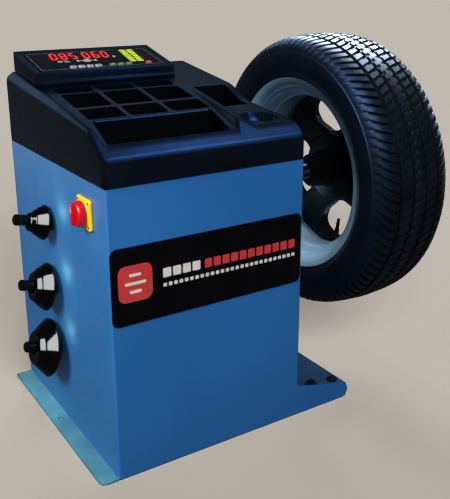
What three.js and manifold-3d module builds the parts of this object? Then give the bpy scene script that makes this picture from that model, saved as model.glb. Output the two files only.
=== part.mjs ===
// Wheel balancer: sheet-steel cabinet, moulded weight tray with a display console, cone pegs,
// belt-driven spindle on force sensors, and a car wheel clamped on the spindle.
// Units mm. Origin: centre of the cabinet's footprint, on the floor. +X towards the wheel,
// -Y towards the operator's front panel, +Z up.
import * as THREE from 'three';
import { mergeVertices } from 'three/addons/utils/BufferGeometryUtils.js';
import { ConvexGeometry } from 'three/addons/geometries/ConvexGeometry.js';
import Module from 'manifold-3d';

const wasm = await Module();
wasm.setup();

// ---- driving dimensions ----
const CAB_W = 425; // cabinet width, X
const CAB_D = 500; // cabinet depth, Y
const CAB_H = 576; // floor to the underside of the tray
const SHEET = 2; // panel thickness
const BASE_T = 4; // base plate thickness
const GAP = 0.3; // clearance between parts that touch
const FLANGE_W = 36; // left anchor flange
const FOOT_W = 147; // right foot beyond the cabinet
const FOOT_H = 31; // step height of the right foot
const LIP_H = 65; // front lip where it leaves the cabinet

const TRAY_OVER = 3; // tray overhang beyond the cabinet
const TRAY_WALL = 4;
const TRAY_Z = CAB_H + GAP;
const DECK_Z = 64; // deck height above the cabinet, at the front edge
const DECK_SLOPE = 0.2;
const RIM_Z = 79; // rim height above the cabinet, at the front edge
const RIM_SLOPE = 0.15;
const CREST = 8; // how much the left rim rises above the ridge, at the front

const AXIS_Y = -42; // spindle axis
const AXIS_Z = 482;
const SHAFT_R = 20;
const THREAD_R = 14;
const RIM_IN_X = 345; // wheel: inner flange edge
const RIM_W = 187; // wheel: over the flanges
const RIM_R = 222; // wheel: flange radius (16 inch)
const TYRE_R = 315;
const TYRE_W = 204;
const SEAT_X = 478; // wheel mounting face
const WINDOWS = 4;
const WINDOW_START = 10.5; // degrees, first window, from -Y towards +Z

const PEG_Y = 32;
const PEG_TILT = 12; // degrees, pegs tip up so that cones stay on
const PEG_R = 11;
const PEG_L = 77;
const CONE_BORE = 14.3;
// height of each peg, then its cone: back, widest, step and nose distances along the peg with radii
const CONES = [
  { z: 444, back: 10, wide: 15, r: 36, step: 36, stepR: 24, nose: 48, noseR: 18.5 },
  { z: 304, back: 14, wide: 20, r: 50, step: 40, stepR: 37, nose: 50, noseR: 30 },
  { z: 165, back: 18, wide: 26, r: 62, step: 46, stepR: 45, nose: 57, noseR: 36 },
];

const MOTOR_Z = 230;
const PULLEY_X = -48;
const DRIVEN_R = 75;
const MOTOR_R = 20;

const PULLEY_FLAT = 18;
const VALVE_DEG = -100; // valve hole, in line with a window

const XL = -CAB_W / 2; // cabinet faces
const XR = CAB_W / 2;
const YF = -CAB_D / 2;
const YB = CAB_D / 2;
const FOOT_BOLTS = [[XR + 75, YF + 42], [XR + 126, YF + 30]];
const SWITCH_Y = YF + 86; // main switch, on the left panel
const SWITCH_Z = 513;

const WHEEL_SEG = 36; // facets round the wheel
const SEG = 26; // facets round smaller parts

// ---- materials ----
const COLOURS = {
  bluePaint: [0x4f8fc8, 0.45, 0.1],
  blackAbs: [0x15161a, 0.4, 0],
  glossBlack: [0x08080a, 0.15, 0],
  blackPlastic: [0x1c1c1e, 0.5, 0],
  labelBlack: [0x101114, 0.35, 0],
  yellowPlastic: [0xe6c21a, 0.4, 0],
  redPlastic: [0xc81f2a, 0.35, 0],
  redLed: [0xff2a20, 0.3, 0],
  greenLed: [0xa8d820, 0.3, 0],
  whiteKey: [0xe8e8e8, 0.5, 0],
  greenKey: [0x3f9a58, 0.5, 0],
  redKey: [0xd04038, 0.5, 0],
  coneSteel: [0x111214, 0.2, 0.6],
  steel: [0x9a9da0, 0.35, 1],
  darkSteel: [0x4a4c50, 0.5, 1],
  castIron: [0x3c3e40, 0.7, 0.6],
  alloy: [0xa9b3bd, 0.3, 1],
  rubber: [0x17181a, 0.85, 0],
  beltRubber: [0x202020, 0.8, 0],
  motorGrey: [0x5c6468, 0.5, 0.4],
  copper: [0x8a6a3a, 0.5, 0.4],
};

const root = new THREE.Group();
root.name = 'wheel_balancer';

function add(name, colour, geometry) {
  const [color, roughness, metalness] = COLOURS[colour];
  const material = new THREE.MeshStandardMaterial({ color, roughness, metalness });
  material.name = name;
  const mesh = new THREE.Mesh(geometry, material);
  mesh.name = name;
  root.add(mesh);
}

// ---- solid helpers ----
function bare(geometry) {
  const g = geometry.clone();
  g.deleteAttribute('normal');
  g.deleteAttribute('uv');
  return mergeVertices(g, 1e-4);
}

function solid(geometry) {
  const g = bare(geometry);
  return new wasm.Manifold(new wasm.Mesh({
    numProp: 3,
    vertProperties: new Float32Array(g.attributes.position.array),
    triVerts: new Uint32Array(g.index.array),
  }));
}

function meshOf(manifold) {
  const m = manifold.getMesh();
  const g = new THREE.BufferGeometry();
  g.setAttribute('position', new THREE.BufferAttribute(new Float32Array(m.vertProperties), 3));
  g.setIndex(new THREE.BufferAttribute(new Uint32Array(m.triVerts), 1));
  g.computeVertexNormals();
  return g;
}

function union(...parts) {
  return meshOf(parts.map(solid).reduce((a, b) => a.add(b)));
}

function cut(base, ...tools) {
  return meshOf(tools.map(solid).reduce((a, b) => a.subtract(b), solid(base)));
}

function box(x0, x1, y0, y1, z0, z1) {
  const g = new THREE.BoxGeometry(x1 - x0, y1 - y0, z1 - z0);
  return g.translate((x0 + x1) / 2, (y0 + y1) / 2, (z0 + z1) / 2);
}

// a cylinder from a to b along the named axis, centred on the other two coordinates
function rod(axis, r, a, b, c1, c2, segments = SEG) {
  const g = new THREE.CylinderGeometry(r, r, b - a, segments);
  if (axis === 'x') {
    return g.rotateZ(-Math.PI / 2).translate((a + b) / 2, c1, c2);
  }
  if (axis === 'y') {
    return g.translate(c1, (a + b) / 2, c2);
  }
  return g.rotateX(Math.PI / 2).translate(c1, c2, (a + b) / 2);
}

function polygon(points, holes = []) {
  const shape = new THREE.Shape(points.map(([x, y]) => new THREE.Vector2(x, y)));
  for (const hole of holes) {
    shape.holes.push(new THREE.Path(hole.map(([x, y]) => new THREE.Vector2(x, y))));
  }
  return shape;
}

function circlePoints(cx, cy, r, n = SEG) {
  return Array.from({ length: n }, (_, i) => {
    const a = (i / n) * 2 * Math.PI;
    return [cx + r * Math.cos(a), cy + r * Math.sin(a)];
  });
}

// a rounded rectangle in two coordinates
function roundRect(x0, x1, y0, y1, r, n = 4) {
  const corners = [[x1 - r, y1 - r, 0], [x0 + r, y1 - r, 90], [x0 + r, y0 + r, 180], [x1 - r, y0 + r, 270]];
  return corners.flatMap(([cx, cy, start]) => Array.from({ length: n + 1 }, (_, i) => {
    const a = THREE.MathUtils.degToRad(start + (90 * i) / n);
    return [cx + r * Math.cos(a), cy + r * Math.sin(a)];
  }));
}

const extrude = (shape, depth) => new THREE.ExtrudeGeometry(shape, { depth, bevelEnabled: false, curveSegments: 8 });

// plates: the shape is drawn in XY, XZ or YZ and thickened from a to b along the third axis
const plateXY = (points, a, b, holes) => extrude(polygon(points, holes), b - a).translate(0, 0, a);
const plateXZ = (points, a, b, holes) => extrude(polygon(points, holes), b - a)
  .rotateX(Math.PI / 2).translate(0, b, 0);
const plateYZ = (points, a, b, holes) => extrude(polygon(points, holes), b - a)
  .rotateX(Math.PI / 2).rotateZ(Math.PI / 2).translate(a, 0, 0);

// a solid of revolution about X; profile points are [x, radius], in either order round the outline
function turned(profile, cy, cz, segments = SEG) {
  const area = profile.reduce((sum, [x, r], i) => {
    const [nextX, nextR] = profile[(i + 1) % profile.length];
    return sum + x * nextR - nextX * r;
  }, 0);
  const ordered = area > 0 ? profile.slice().reverse() : profile;
  const points = ordered.map(([x, r]) => new THREE.Vector2(r, x));
  if (ordered[0][1] > 0 || ordered[ordered.length - 1][1] > 0) {
    points.push(points[0].clone());
  }
  return new THREE.LatheGeometry(points, segments).rotateZ(-Math.PI / 2).translate(0, cy, cz);
}

const hull = (points) => new ConvexGeometry(points.map(([x, y, z]) => new THREE.Vector3(x, y, z)));

// ---- cabinet ----
function cabinet() {
  const z0 = BASE_T + GAP;
  const z1 = CAB_H - SHEET - GAP;
  const x0 = XL - FLANGE_W;
  const r = 12;
  const basePoints = [
    [XR - GAP, YF + SHEET + GAP], [XR - GAP, YB], [x0, YB], [x0, YF + r],
    [x0 + r * 0.3, YF + r * 0.3], [x0 + r, YF], [XL - GAP, YF], [XL - GAP, YF + SHEET + GAP],
  ];
  const anchor = circlePoints(XL - FLANGE_W / 2, 9, 6, 20);
  add('base_plate', 'bluePaint', plateXY(basePoints, 0, BASE_T, [anchor]));

  const tip = XR + FOOT_W;
  const frontPoints = [
    [XL, 0], [tip - 14, 0], [tip - 5, 6], [tip, 15], [tip - 1, 24], [tip - 8, FOOT_H + 2],
    [XR + 20, LIP_H - 2], [XR + 6, LIP_H + 1], [XR, LIP_H + 8], [XR, z1], [XL, z1],
  ];
  add('front_panel', 'bluePaint', plateXZ(frontPoints, YF, YF + SHEET));

  const pegHoles = CONES.map((c) => circlePoints(PEG_Y, c.z, 6.3, 16));
  const switchHole = circlePoints(SWITCH_Y, SWITCH_Z, 9, 16);
  const ys = YF + SHEET + GAP;
  const side = [[ys, z0], [YB, z0], [YB, z1], [ys, z1]];
  add('left_panel', 'bluePaint', plateYZ(side, XL, XL + SHEET, [...pegHoles, switchHole]));

  const spindleHole = circlePoints(AXIS_Y, AXIS_Z, 56, SEG);
  add('right_panel', 'bluePaint', plateYZ(side, XR - SHEET, XR, [spindleHole]));

  const bx = SHEET + GAP;
  const rear = [[XL + bx, z0], [XR - bx, z0], [XR - bx, z1], [XL + bx, z1]];
  const service = roundRect(-130, 130, 130, 500, 10);
  const inletHole = roundRect(-174, -146, 60, 84, 3);
  add('rear_panel', 'bluePaint', plateXZ(rear, YB - SHEET, YB, [service, inletHole]));

  const cover = plateXZ(roundRect(-150, 150, 110, 520, 8), YB + GAP, YB + GAP + 1.5);
  const screws = [[-140, 120], [140, 120], [-140, 510], [140, 510], [-140, 315], [140, 315]]
    .map(([x, z]) => rod('y', 5, YB + 1, YB + GAP + 4, x, z, 12));
  const louvres = [0, 1, 2, 3, 4].map((i) => hull([
    [-60, YB + 1, 400 + 18 * i], [60, YB + 1, 400 + 18 * i], [-60, YB + 1, 412 + 18 * i],
    [60, YB + 1, 412 + 18 * i], [-57, YB + 6, 401 + 18 * i], [57, YB + 6, 401 + 18 * i],
  ]));
  add('rear_cover', 'bluePaint', union(cover, ...screws, ...louvres));

  add('top_plate', 'darkSteel', box(XL, XR, YF, YB, CAB_H - SHEET, CAB_H));
  add('label_plate', 'labelBlack', plateXZ(roundRect(XL + 1.5, XR - 2, 316, 465, 14), YF - GAP - 1.5, YF - GAP));
}

function foot() {
  const x0 = XR + GAP;
  const x1 = XR + FOOT_W - 3;
  const y0 = YF + SHEET + GAP;
  const profile = [
    [x0, 40], [x0, FOOT_H - 3], [x1 - 3, FOOT_H - 3], [x1 - 3, 0], [x1, 0], [x1, FOOT_H],
    [x0 + 3, FOOT_H], [x0 + 3, 40],
  ];
  const body = plateXZ(profile, y0, YB);
  const holes = FOOT_BOLTS.map(([x, y]) => rod('z', 6, 0, FOOT_H + 5, x, y, 16));
  add('right_foot', 'bluePaint', cut(body, ...holes));
  FOOT_BOLTS.forEach(([x, y], i) => {
    const head = rod('z', 10, FOOT_H + GAP, FOOT_H + 7.5, x, y, 6);
    const washer = rod('z', 12, FOOT_H + GAP, FOOT_H + 2, x, y, 20);
    const shank = rod('z', 5.5, 6, FOOT_H + 1, x, y, 12);
    add(`foot_bolt_${i + 1}`, 'darkSteel', union(head, washer, shank));
  });
}

// ---- weight tray ----
const deckZ = (y) => CAB_H + DECK_Z + DECK_SLOPE * (y - YF);
const rimZ = (y) => CAB_H + RIM_Z + RIM_SLOPE * (y - YF);
const lowZ = (y) => CAB_H + 68 + 0.11 * (y - YF);
const RIDGE_X = XL + 314; // ridge between the pocket field and the right-hand compartment
const CONSOLE_Y = YF + 345; // front of the console

// a pocket sunk below the deck: its mouth follows the deck, its floor is smaller and parallel
function pocket(x0, x1, y0, y1, depth, taper, height = deckZ, grow = 0) {
  const d = depth + grow;
  const top = 60;
  const mouth = (x, y, side, end) => [x + side * grow, y + end * grow, height(y) + top];
  const floor = (x, y, side, end) => [
    x - side * (taper - grow), y - end * (taper - grow), height(y - end * (taper - grow)) - d,
  ];
  const edge = (x, y, side, end) => [x + side * grow, y + end * grow, height(y + end * grow)];
  const corners = [[x0, y0, -1, -1], [x1, y0, 1, -1], [x0, y1, -1, 1], [x1, y1, 1, 1]];
  return hull([
    ...corners.map((c) => mouth(...c)),
    ...corners.map((c) => edge(...c)),
    ...corners.map((c) => floor(...c)),
  ]);
}

const COLS = [[XL + 38, XL + 116], [XL + 127, XL + 206], [XL + 217, XL + 300]];
const ROWS = [[YF + 144, YF + 198, 30], [YF + 209, YF + 284, 34], [YF + 293, YF + 330, 16]];
const POCKETS = [
  { x: [XL + 26, XL + 296], y: [YF + 30, YF + 133], depth: 34, height: deckZ },
  ...ROWS.flatMap(([y0, y1, depth]) => COLS.map((x) => ({ x, y: [y0, y1], depth, height: deckZ }))),
  { x: [XL + 326, XL + 408], y: [YF + 170, YF + 262], depth: 34, height: lowZ },
];
const BOWL = { x: XL + 374, y: YF + 78, r: 36, depth: 24 };

function trayBlock(inset) {
  const x0 = XL - TRAY_OVER + inset;
  const x1 = XR + TRAY_OVER - inset;
  const y0 = YF - TRAY_OVER + inset;
  const y1 = YB - inset;
  const mid = RIDGE_X + 6;
  const bottom = inset > 0 ? TRAY_Z - 10 : TRAY_Z;
  const down = inset * 1.05;
  const high = [
    [y0, bottom], [y1, bottom], [y1, CAB_H + 134 - down], [YB - 22 - inset, rimZ(YB - 22) - down],
    [YF + 34, rimZ(YF + 34) - down], [YF + 24, CAB_H + 71 - down], [y0, CAB_H + 47 - down],
  ];
  const low = [
    [y0, bottom], [y1, bottom], [y1, CAB_H + 134 - down], [YB - 22 - inset, rimZ(YB - 22) - down],
    [YF + 276, rimZ(YF + 276) - down], [YF + 262, rimZ(YF + 262) - 5 - down],
    [YF + 226, lowZ(YF + 226) + 10 - down], [YF + 186, lowZ(YF + 186) - down],
    [YF + 26, lowZ(YF + 26) - down], [y0, CAB_H + 47 - down],
  ];
  return solid(plateYZ(high, x0, mid)).add(solid(plateYZ(low, mid - 1, x1)));
}

// the field inside the sloping rim, cut down to the deck
function trayField() {
  const y0 = YF + 30;
  const yr = RIDGE_X - 3;
  return hull([
    [XL + 2, y0 - 4, rimZ(y0)], [XL + 22, y0, deckZ(y0)], [yr - 10, y0, deckZ(y0)], [yr, y0 - 4, rimZ(y0)],
    [XL + 2, CONSOLE_Y, rimZ(CONSOLE_Y)], [XL + 22, CONSOLE_Y, deckZ(CONSOLE_Y) - 1],
    [yr - 10, CONSOLE_Y, deckZ(CONSOLE_Y) - 1], [yr, CONSOLE_Y, rimZ(CONSOLE_Y)],
    [XL + 2, y0 - 4, 900], [yr, y0 - 4, 900], [XL + 2, CONSOLE_Y, 900], [yr, CONSOLE_Y, 900],
  ]);
}

// left rim: a crest that dies away towards the rear, with a broad bevel down to the skirt
const crestZ = (y) => rimZ(y) + CREST * Math.min(1, Math.max(0, (YF + 420 - y) / 220));
const bevelZ = (y) => Math.min(crestZ(y) - 3, CAB_H + 88 + 0.092 * (y - YF));

function leftCrest() {
  const stations = [YF + 36, YF + 200, YF + 420];
  const parts = stations.slice(1).map((y1, i) => solid(hull([stations[i], y1].flatMap((y) => [
    [XL - TRAY_OVER, y, bevelZ(y) - 12], [XL - TRAY_OVER, y, crestZ(y)], [XL + 8, y, crestZ(y)],
    [XL + 13, y, deckZ(y) - 3],
  ]))));
  return parts.reduce((a, b) => a.add(b));
}

function leftBevel() {
  const stations = [YF - 20, YF + 36, YF + 200, YF + 420, YB + 20];
  const parts = stations.slice(1).map((y1, i) => solid(hull([stations[i], y1].flatMap((y) => [
    [XL - TRAY_OVER - 4, y, bevelZ(y) - 4], [XL + 8, y, crestZ(y)], [XL + 8, y, 900],
    [XL - TRAY_OVER - 4, y, 900],
  ]))));
  return parts.reduce((a, b) => a.add(b));
}

function tray() {
  const bowl = (grow) => solid(new THREE.SphereGeometry(BOWL.r + grow, 22, 10)
    .scale(1, 1, BOWL.depth / BOWL.r)
    .translate(BOWL.x, BOWL.y, lowZ(BOWL.y)));
  let hollow = trayBlock(TRAY_WALL)
    .subtract(solid(trayField().translate(0, 0, -TRAY_WALL)))
    .subtract(leftBevel().translate(TRAY_WALL * 0.7, 0, -TRAY_WALL));
  let outer = trayBlock(0)
    .subtract(solid(trayField()))
    .add(leftCrest())
    .subtract(leftBevel());
  for (const p of POCKETS) {
    hollow = hollow.subtract(solid(pocket(...p.x, ...p.y, p.depth, 5, p.height, TRAY_WALL)));
    outer = outer.subtract(solid(pocket(...p.x, ...p.y, p.depth, 5, p.height)));
  }
  hollow = hollow.subtract(bowl(TRAY_WALL));
  outer = outer.subtract(bowl(0)).subtract(hollow);
  add('weight_tray', 'blackAbs', meshOf(outer));
}

// ---- console and display ----
const CON_X0 = XL + 14;
const CON_X1 = XL + 332;
const CON_Y1 = YF + 484;
const PANEL_SLOPE = 0.25;
const panelZ = (y) => CAB_H + 157 + PANEL_SLOPE * (y - CONSOLE_Y);
const PANEL = { x: [CON_X0 + 14, CON_X1 - 14], y: [CONSOLE_Y + 14, CON_Y1 - 12], t: 5 };

// a slab parallel to the display panel, from height a to b above its face
function panelSlab(x0, x1, y0, y1, a, b) {
  const at = (x, y, h) => [x, y, panelZ(y) + h];
  return hull([x0, x1].flatMap((x) => [y0, y1].flatMap((y) => [at(x, y, a), at(x, y, b)])));
}

const KEYS = [
  ...[0, 1, 2, 3].map((i) => ({ name: `key_white_${i + 1}`, colour: 'whiteKey', x: PANEL.x[0] + 70 + 19 * i })),
  ...[0, 1, 2].map((i) => ({ name: `key_green_${i + 1}`, colour: 'greenKey', x: PANEL.x[0] + 160 + 19 * i })),
  { name: 'key_red', colour: 'redKey', x: PANEL.x[0] + 246 },
];
const KEY_Y = [PANEL.y[0] + 9, PANEL.y[0] + 20];
const KEY_W = 14;
const DISPLAYS = [
  { name: 'digits_left', colour: 'redLed', x: [46, 112], y: [60, 101] },
  { name: 'digits_right', colour: 'redLed', x: [120, 186], y: [60, 101] },
  { name: 'position_bars', colour: 'greenLed', x: [216, 262], y: [26, 104] },
];

function consoleUnit() {
  const z0 = (y) => rimZ(y) + 3;
  const left = (x, shrink) => [
    [x, CONSOLE_Y + shrink, deckZ(CONSOLE_Y) + GAP], [x, CON_Y1 - shrink, z0(CON_Y1)],
    [x, CON_Y1 - shrink, panelZ(CON_Y1) - shrink], [x, CONSOLE_Y + shrink, panelZ(CONSOLE_Y) - 8 - shrink],
    [x, CONSOLE_Y + 8 + shrink, panelZ(CONSOLE_Y + 8) - shrink],
  ];
  const shell = hull([...left(CON_X0, 0), ...left(CON_X1, 0)]);
  const inside = hull([...left(CON_X0 + 4, 4), ...left(CON_X1 - 4, 4)]).translate(0, 0, -1);
  const [x0, x1] = PANEL.x;
  const [y0, y1] = PANEL.y;
  const seat = panelSlab(x0 - GAP, x1 + GAP, y0 - GAP, y1 + GAP, -PANEL.t, 30);
  const trayTop = solid(hull([
    ...[XL - 5, XR].flatMap((x) => [
      [x, CONSOLE_Y - 9, deckZ(CONSOLE_Y) + GAP - 40], [x, CONSOLE_Y - 9, deckZ(CONSOLE_Y) - 2],
      [x, YB, rimZ(YB) - 40], [x, YB, rimZ(YB) + GAP + 0.4],
      [x, CONSOLE_Y, rimZ(CONSOLE_Y) + GAP + 0.4],
    ]),
  ]));
  const window = panelSlab(x0 + 12, x1 - 12, y0 + 5, y1 - 5, -40, 10);
  const body = solid(shell).subtract(solid(inside)).subtract(solid(seat)).subtract(solid(window))
    .subtract(trayTop);
  add('console_housing', 'blackAbs', meshOf(body));

  const panel = panelSlab(x0, x1, y0, y1, -PANEL.t + GAP, 0);
  const slots = KEYS.map((k) => panelSlab(k.x - GAP, k.x + KEY_W + GAP, KEY_Y[0] - GAP, KEY_Y[1] + GAP, -20, 20));
  const recess = DISPLAYS.map((d) => panelSlab(
    x0 + d.x[0] - GAP, x0 + d.x[1] + GAP, y0 + d.y[0] - GAP, y0 + d.y[1] + GAP, -1.5, 20,
  ));
  add('display_panel', 'glossBlack', cut(panel, ...slots, ...recess));
  for (const d of DISPLAYS) {
    add(d.name, d.colour, panelSlab(x0 + d.x[0], x0 + d.x[1], y0 + d.y[0], y0 + d.y[1], -1.5 + GAP, 0.2));
  }
  for (const k of KEYS) {
    add(k.name, k.colour, panelSlab(k.x, k.x + KEY_W, KEY_Y[0], KEY_Y[1], -PANEL.t + 1, 1.5));
  }
}

// ---- main switch ----
function mainSwitch() {
  const x = XL - GAP;
  const plate = plateYZ(roundRect(SWITCH_Y - 29, SWITCH_Y + 29, SWITCH_Z - 29, SWITCH_Z + 29, 5), x - 8, x);
  const block = box(XL - 4, XL + 46, SWITCH_Y - 5.5, SWITCH_Y + 5.5, SWITCH_Z - 5.5, SWITCH_Z + 5.5);
  const rear = box(XL + SHEET + 1, XL + 46, SWITCH_Y - 20, SWITCH_Y + 20, SWITCH_Z - 20, SWITCH_Z + 20);
  const seat = rod('x', 10, x - 20, x - 5, SWITCH_Y, SWITCH_Z, 24);
  add('switch_base', 'yellowPlastic', cut(union(plate, block, rear), seat));
  const stem = rod('x', 9, x - 12, x - 5.3, SWITCH_Y, SWITCH_Z, 24);
  const disc = turned([[x - 8.3, 0], [x - 8.3, 24], [x - 20, 24], [x - 24, 21], [x - 24, 0]],
    SWITCH_Y, SWITCH_Z, 36);
  const grip = box(x - 30, x - 20, SWITCH_Y - 5, SWITCH_Y + 5, SWITCH_Z - 20, SWITCH_Z + 20);
  add('switch_knob', 'redPlastic', union(stem, disc, grip));
}

// ---- cone pegs and cones ----
function pegs() {
  const tilt = THREE.MathUtils.degToRad(PEG_TILT);
  // built along -X from the panel, then tipped up about the peg's foot
  const place = (g, z) => g.rotateY(tilt).translate(XL, PEG_Y, z);
  CONES.forEach((c, i) => {
    const peg = turned([[-PEG_L, 0], [-PEG_L, PEG_R - 2], [-PEG_L + 2, PEG_R], [-3.5, PEG_R], [-3.5, 0]], 0, 0, 20);
    const collar = turned([[-4, 0], [-4, 16], [GAP - c.back, 16], [GAP - c.back, 0]], 0, 0, 20);
    const stud = rod('x', 5, XL - 5, XL + 14, PEG_Y, c.z, 14);
    const nut = rod('x', 9, XL + SHEET + GAP, XL + 9, PEG_Y, c.z, 6);
    const foot = plateYZ(circlePoints(PEG_Y, c.z, 18, 28), XL - 6, XL - GAP);
    add(`cone_peg_${i + 1}`, 'darkSteel', union(place(peg, c.z), place(collar, c.z), stud, nut, foot));
    const drop = CONE_BORE - PEG_R - 0.25; // the cone hangs on the peg by the top of its bore
    const profile = [
      [-c.back, CONE_BORE], [-c.back, c.r - 7], [-c.wide + 1.5, c.r], [-c.wide - 2, c.r],
      [-c.step, c.stepR], [-c.step - 1, c.stepR - 2.5], [-c.nose + 1.5, c.noseR], [-c.nose, c.noseR - 1.5],
      [-c.nose, CONE_BORE],
    ];
    const cone = turned(profile, 0, -drop, 30);
    add(`cone_${i + 1}`, 'coneSteel', place(cone, c.z));
  });
}

// ---- spindle ----
function spindle() {
  const at = (profile, n = SEG) => turned(profile.slice(), AXIS_Y, AXIS_Z, n);
  const tube = at([
    [-18, 32], [-18, 50], [332, 50], [332, 32], [310, 32], [310, 40.3], [18, 40.3], [18, 32],
  ], 36);
  const saddle = box(20, 190, AXIS_Y - 45, AXIS_Y + 45, AXIS_Z - 62, AXIS_Z - 48);
  const web = box(30, 180, AXIS_Y - 8, AXIS_Y + 8, AXIS_Z - 60, AXIS_Z - 44);
  const bore = rod('x', 40.3, -30, 340, AXIS_Y, AXIS_Z, 36);
  add('spindle_housing', 'castIron', cut(union(tube, saddle, web), bore));
  [[-14, 4], [300, 318]].forEach(([a, b], i) => {
    add(`bearing_${i + 1}`, 'steel', at([[a, SHAFT_R + GAP], [a, 40], [b, 40], [b, SHAFT_R + GAP]]));
  });
  add('spindle_shaft', 'steel', at([
    [-120, 0], [-120, 14], [-30, 14], [-30, SHAFT_R], [430, SHAFT_R], [430, THREAD_R], [642, THREAD_R],
    [645, THREAD_R - 3], [645, 0],
  ]));
  add('backplate', 'darkSteel', at([
    [398, SHAFT_R + GAP], [398, 38], [452, 42], [456, 78], [460, 82], [SEAT_X - GAP, 82],
    [SEAT_X - GAP, 36], [430 + GAP, 36], [430 + GAP, SHAFT_R + GAP],
  ], 34));
}

// ---- drive ----
function drive() {
  const half = PULLEY_FLAT / 2;
  const wheelOf = (r, inner, web) => [
    [PULLEY_X - half - 5, inner], [PULLEY_X - half - 5, inner + 9], [PULLEY_X - web, inner + 9],
    [PULLEY_X - web, r - 8], [PULLEY_X - half - 3, r - 8], [PULLEY_X - half - 3, r + 4], [PULLEY_X - half, r + 4],
    [PULLEY_X - half, r], [PULLEY_X + half, r], [PULLEY_X + half, r + 4], [PULLEY_X + half + 3, r + 4],
    [PULLEY_X + half + 3, r - 8], [PULLEY_X + web, r - 8], [PULLEY_X + web, inner + 9],
    [PULLEY_X + half + 5, inner + 9], [PULLEY_X + half + 5, inner],
  ];
  const big = wheelOf(DRIVEN_R, 14 + GAP, 4);
  add('driven_pulley', 'steel', turned(big, AXIS_Y, AXIS_Z, 26));
  const small = [
    [PULLEY_X - half - 3, 7 + GAP], [PULLEY_X - half - 3, MOTOR_R + 4], [PULLEY_X - half, MOTOR_R + 4],
    [PULLEY_X - half, MOTOR_R], [PULLEY_X + half, MOTOR_R], [PULLEY_X + half, MOTOR_R + 4],
    [PULLEY_X + half + 3, MOTOR_R + 4], [PULLEY_X + half + 3, 7 + GAP],
  ];
  add('motor_pulley', 'steel', turned(small, AXIS_Y, MOTOR_Z, 24));

  // belt: the loop that wraps both pulleys, as an outer outline with the same outline 5 mm smaller as its hole
  const outline = (extra) => {
    const r1 = DRIVEN_R + extra;
    const r2 = MOTOR_R + extra;
    const a = Math.asin((r1 - r2) / (AXIS_Z - MOTOR_Z));
    const arc = (cz, r, from, to, n) => Array.from({ length: n + 1 }, (_, i) => {
      const t = from + ((to - from) * i) / n;
      return [AXIS_Y + r * Math.cos(t), cz + r * Math.sin(t)];
    });
    return [...arc(AXIS_Z, r1, -a, Math.PI + a, 22), ...arc(MOTOR_Z, r2, Math.PI + a, 2 * Math.PI - a, 10)];
  };
  add('drive_belt', 'beltRubber', plateYZ(outline(5), PULLEY_X - 7.5, PULLEY_X + 7.5, [outline(0.4)]));

  const motorAt = (profile, n) => turned(profile, AXIS_Y, MOTOR_Z, n);
  const can = motorAt([[-188, 0], [-188, 40], [-180, 54], [-82, 54], [-74, 40], [-74, 0]], 36);
  const feet = box(-170, -92, AXIS_Y - 52, AXIS_Y + 52, MOTOR_Z - 66, MOTOR_Z - 50);
  const neck = box(-165, -97, AXIS_Y - 30, AXIS_Y + 30, MOTOR_Z - 60, MOTOR_Z - 40);
  const bore = rod('x', 7.4, -90, -60, AXIS_Y, MOTOR_Z, 20);
  add('motor', 'motorGrey', cut(union(can, feet, neck), bore));
  add('motor_shaft', 'steel', rod('x', 7, -88, -34, AXIS_Y, MOTOR_Z, 20));

  const shelfZ = MOTOR_Z - 66 - GAP;
  const shelf = box(-190, 39.7, AXIS_Y - 60, AXIS_Y + 60, shelfZ - 6, shelfZ);
  const leg = box(33.7, 39.7, AXIS_Y - 60, AXIS_Y + 60, shelfZ - 70, shelfZ);
  const gusset = plateXZ([[-60, shelfZ - 3], [36, shelfZ - 68], [36, shelfZ - 3]], AXIS_Y - 3, AXIS_Y + 3);
  add('motor_shelf', 'darkSteel', union(shelf, leg, gusset));
}

// ---- support and measuring ----
function measuring() {
  const z0 = BASE_T + GAP;
  const headZ = 386;
  const u = [
    [40, AXIS_Y - 62], [170, AXIS_Y - 62], [170, AXIS_Y - 56], [46, AXIS_Y - 56], [46, AXIS_Y + 56],
    [170, AXIS_Y + 56], [170, AXIS_Y + 62], [40, AXIS_Y + 62],
  ];
  const channel = plateXY(u, z0, headZ - 10);
  const head = box(30, 190, AXIS_Y - 66, AXIS_Y + 66, headZ - 10.5, headZ);
  const foot = box(30, 190, AXIS_Y - 80, AXIS_Y + 80, z0, z0 + 8);
  add('support_column', 'castIron', union(channel, head, foot));
  const top = AXIS_Z - 62 - GAP;
  [55, 155].forEach((x, i) => {
    const puck = rod('z', 16, headZ + GAP + 8, top - 8, x, AXIS_Y, 24);
    const stud = rod('z', 9, headZ + GAP, top, x, AXIS_Y, 16);
    add(`force_sensor_${i + 1}`, 'steel', union(puck, stud));
  });

  const hub = [
    [-112, 14 + GAP], [-112, 24], [-103, 24], [-103, 46], [-101, 46], [-101, 24], [-92, 24], [-92, 14 + GAP],
  ];
  add('encoder_disc', 'steel', turned(hub, AXIS_Y, AXIS_Z, 28));
  const fork = box(-112, -92, AXIS_Y + 32, AXIS_Y + 66, AXIS_Z - 10, AXIS_Z + 10);
  const slot = box(-105, -99, AXIS_Y + 20, AXIS_Y + 50, AXIS_Z - 20, AXIS_Z + 20);
  add('encoder_sensor', 'blackPlastic', cut(fork, slot));
  const armY = AXIS_Y + 66 + GAP;
  const bar = box(-116, 60, armY + 21, armY + 25, headZ - 14, headZ + 6);
  const link = box(56, 60, armY, armY + 25, headZ - 10, headZ + 2);
  const post = box(-116, -88, armY, armY + 4, headZ - 14, AXIS_Z + 12);
  const step = box(-116, -88, armY, armY + 25, headZ - 14, headZ - 10);
  add('encoder_arm', 'darkSteel', union(bar, link, post, step));
}

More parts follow.
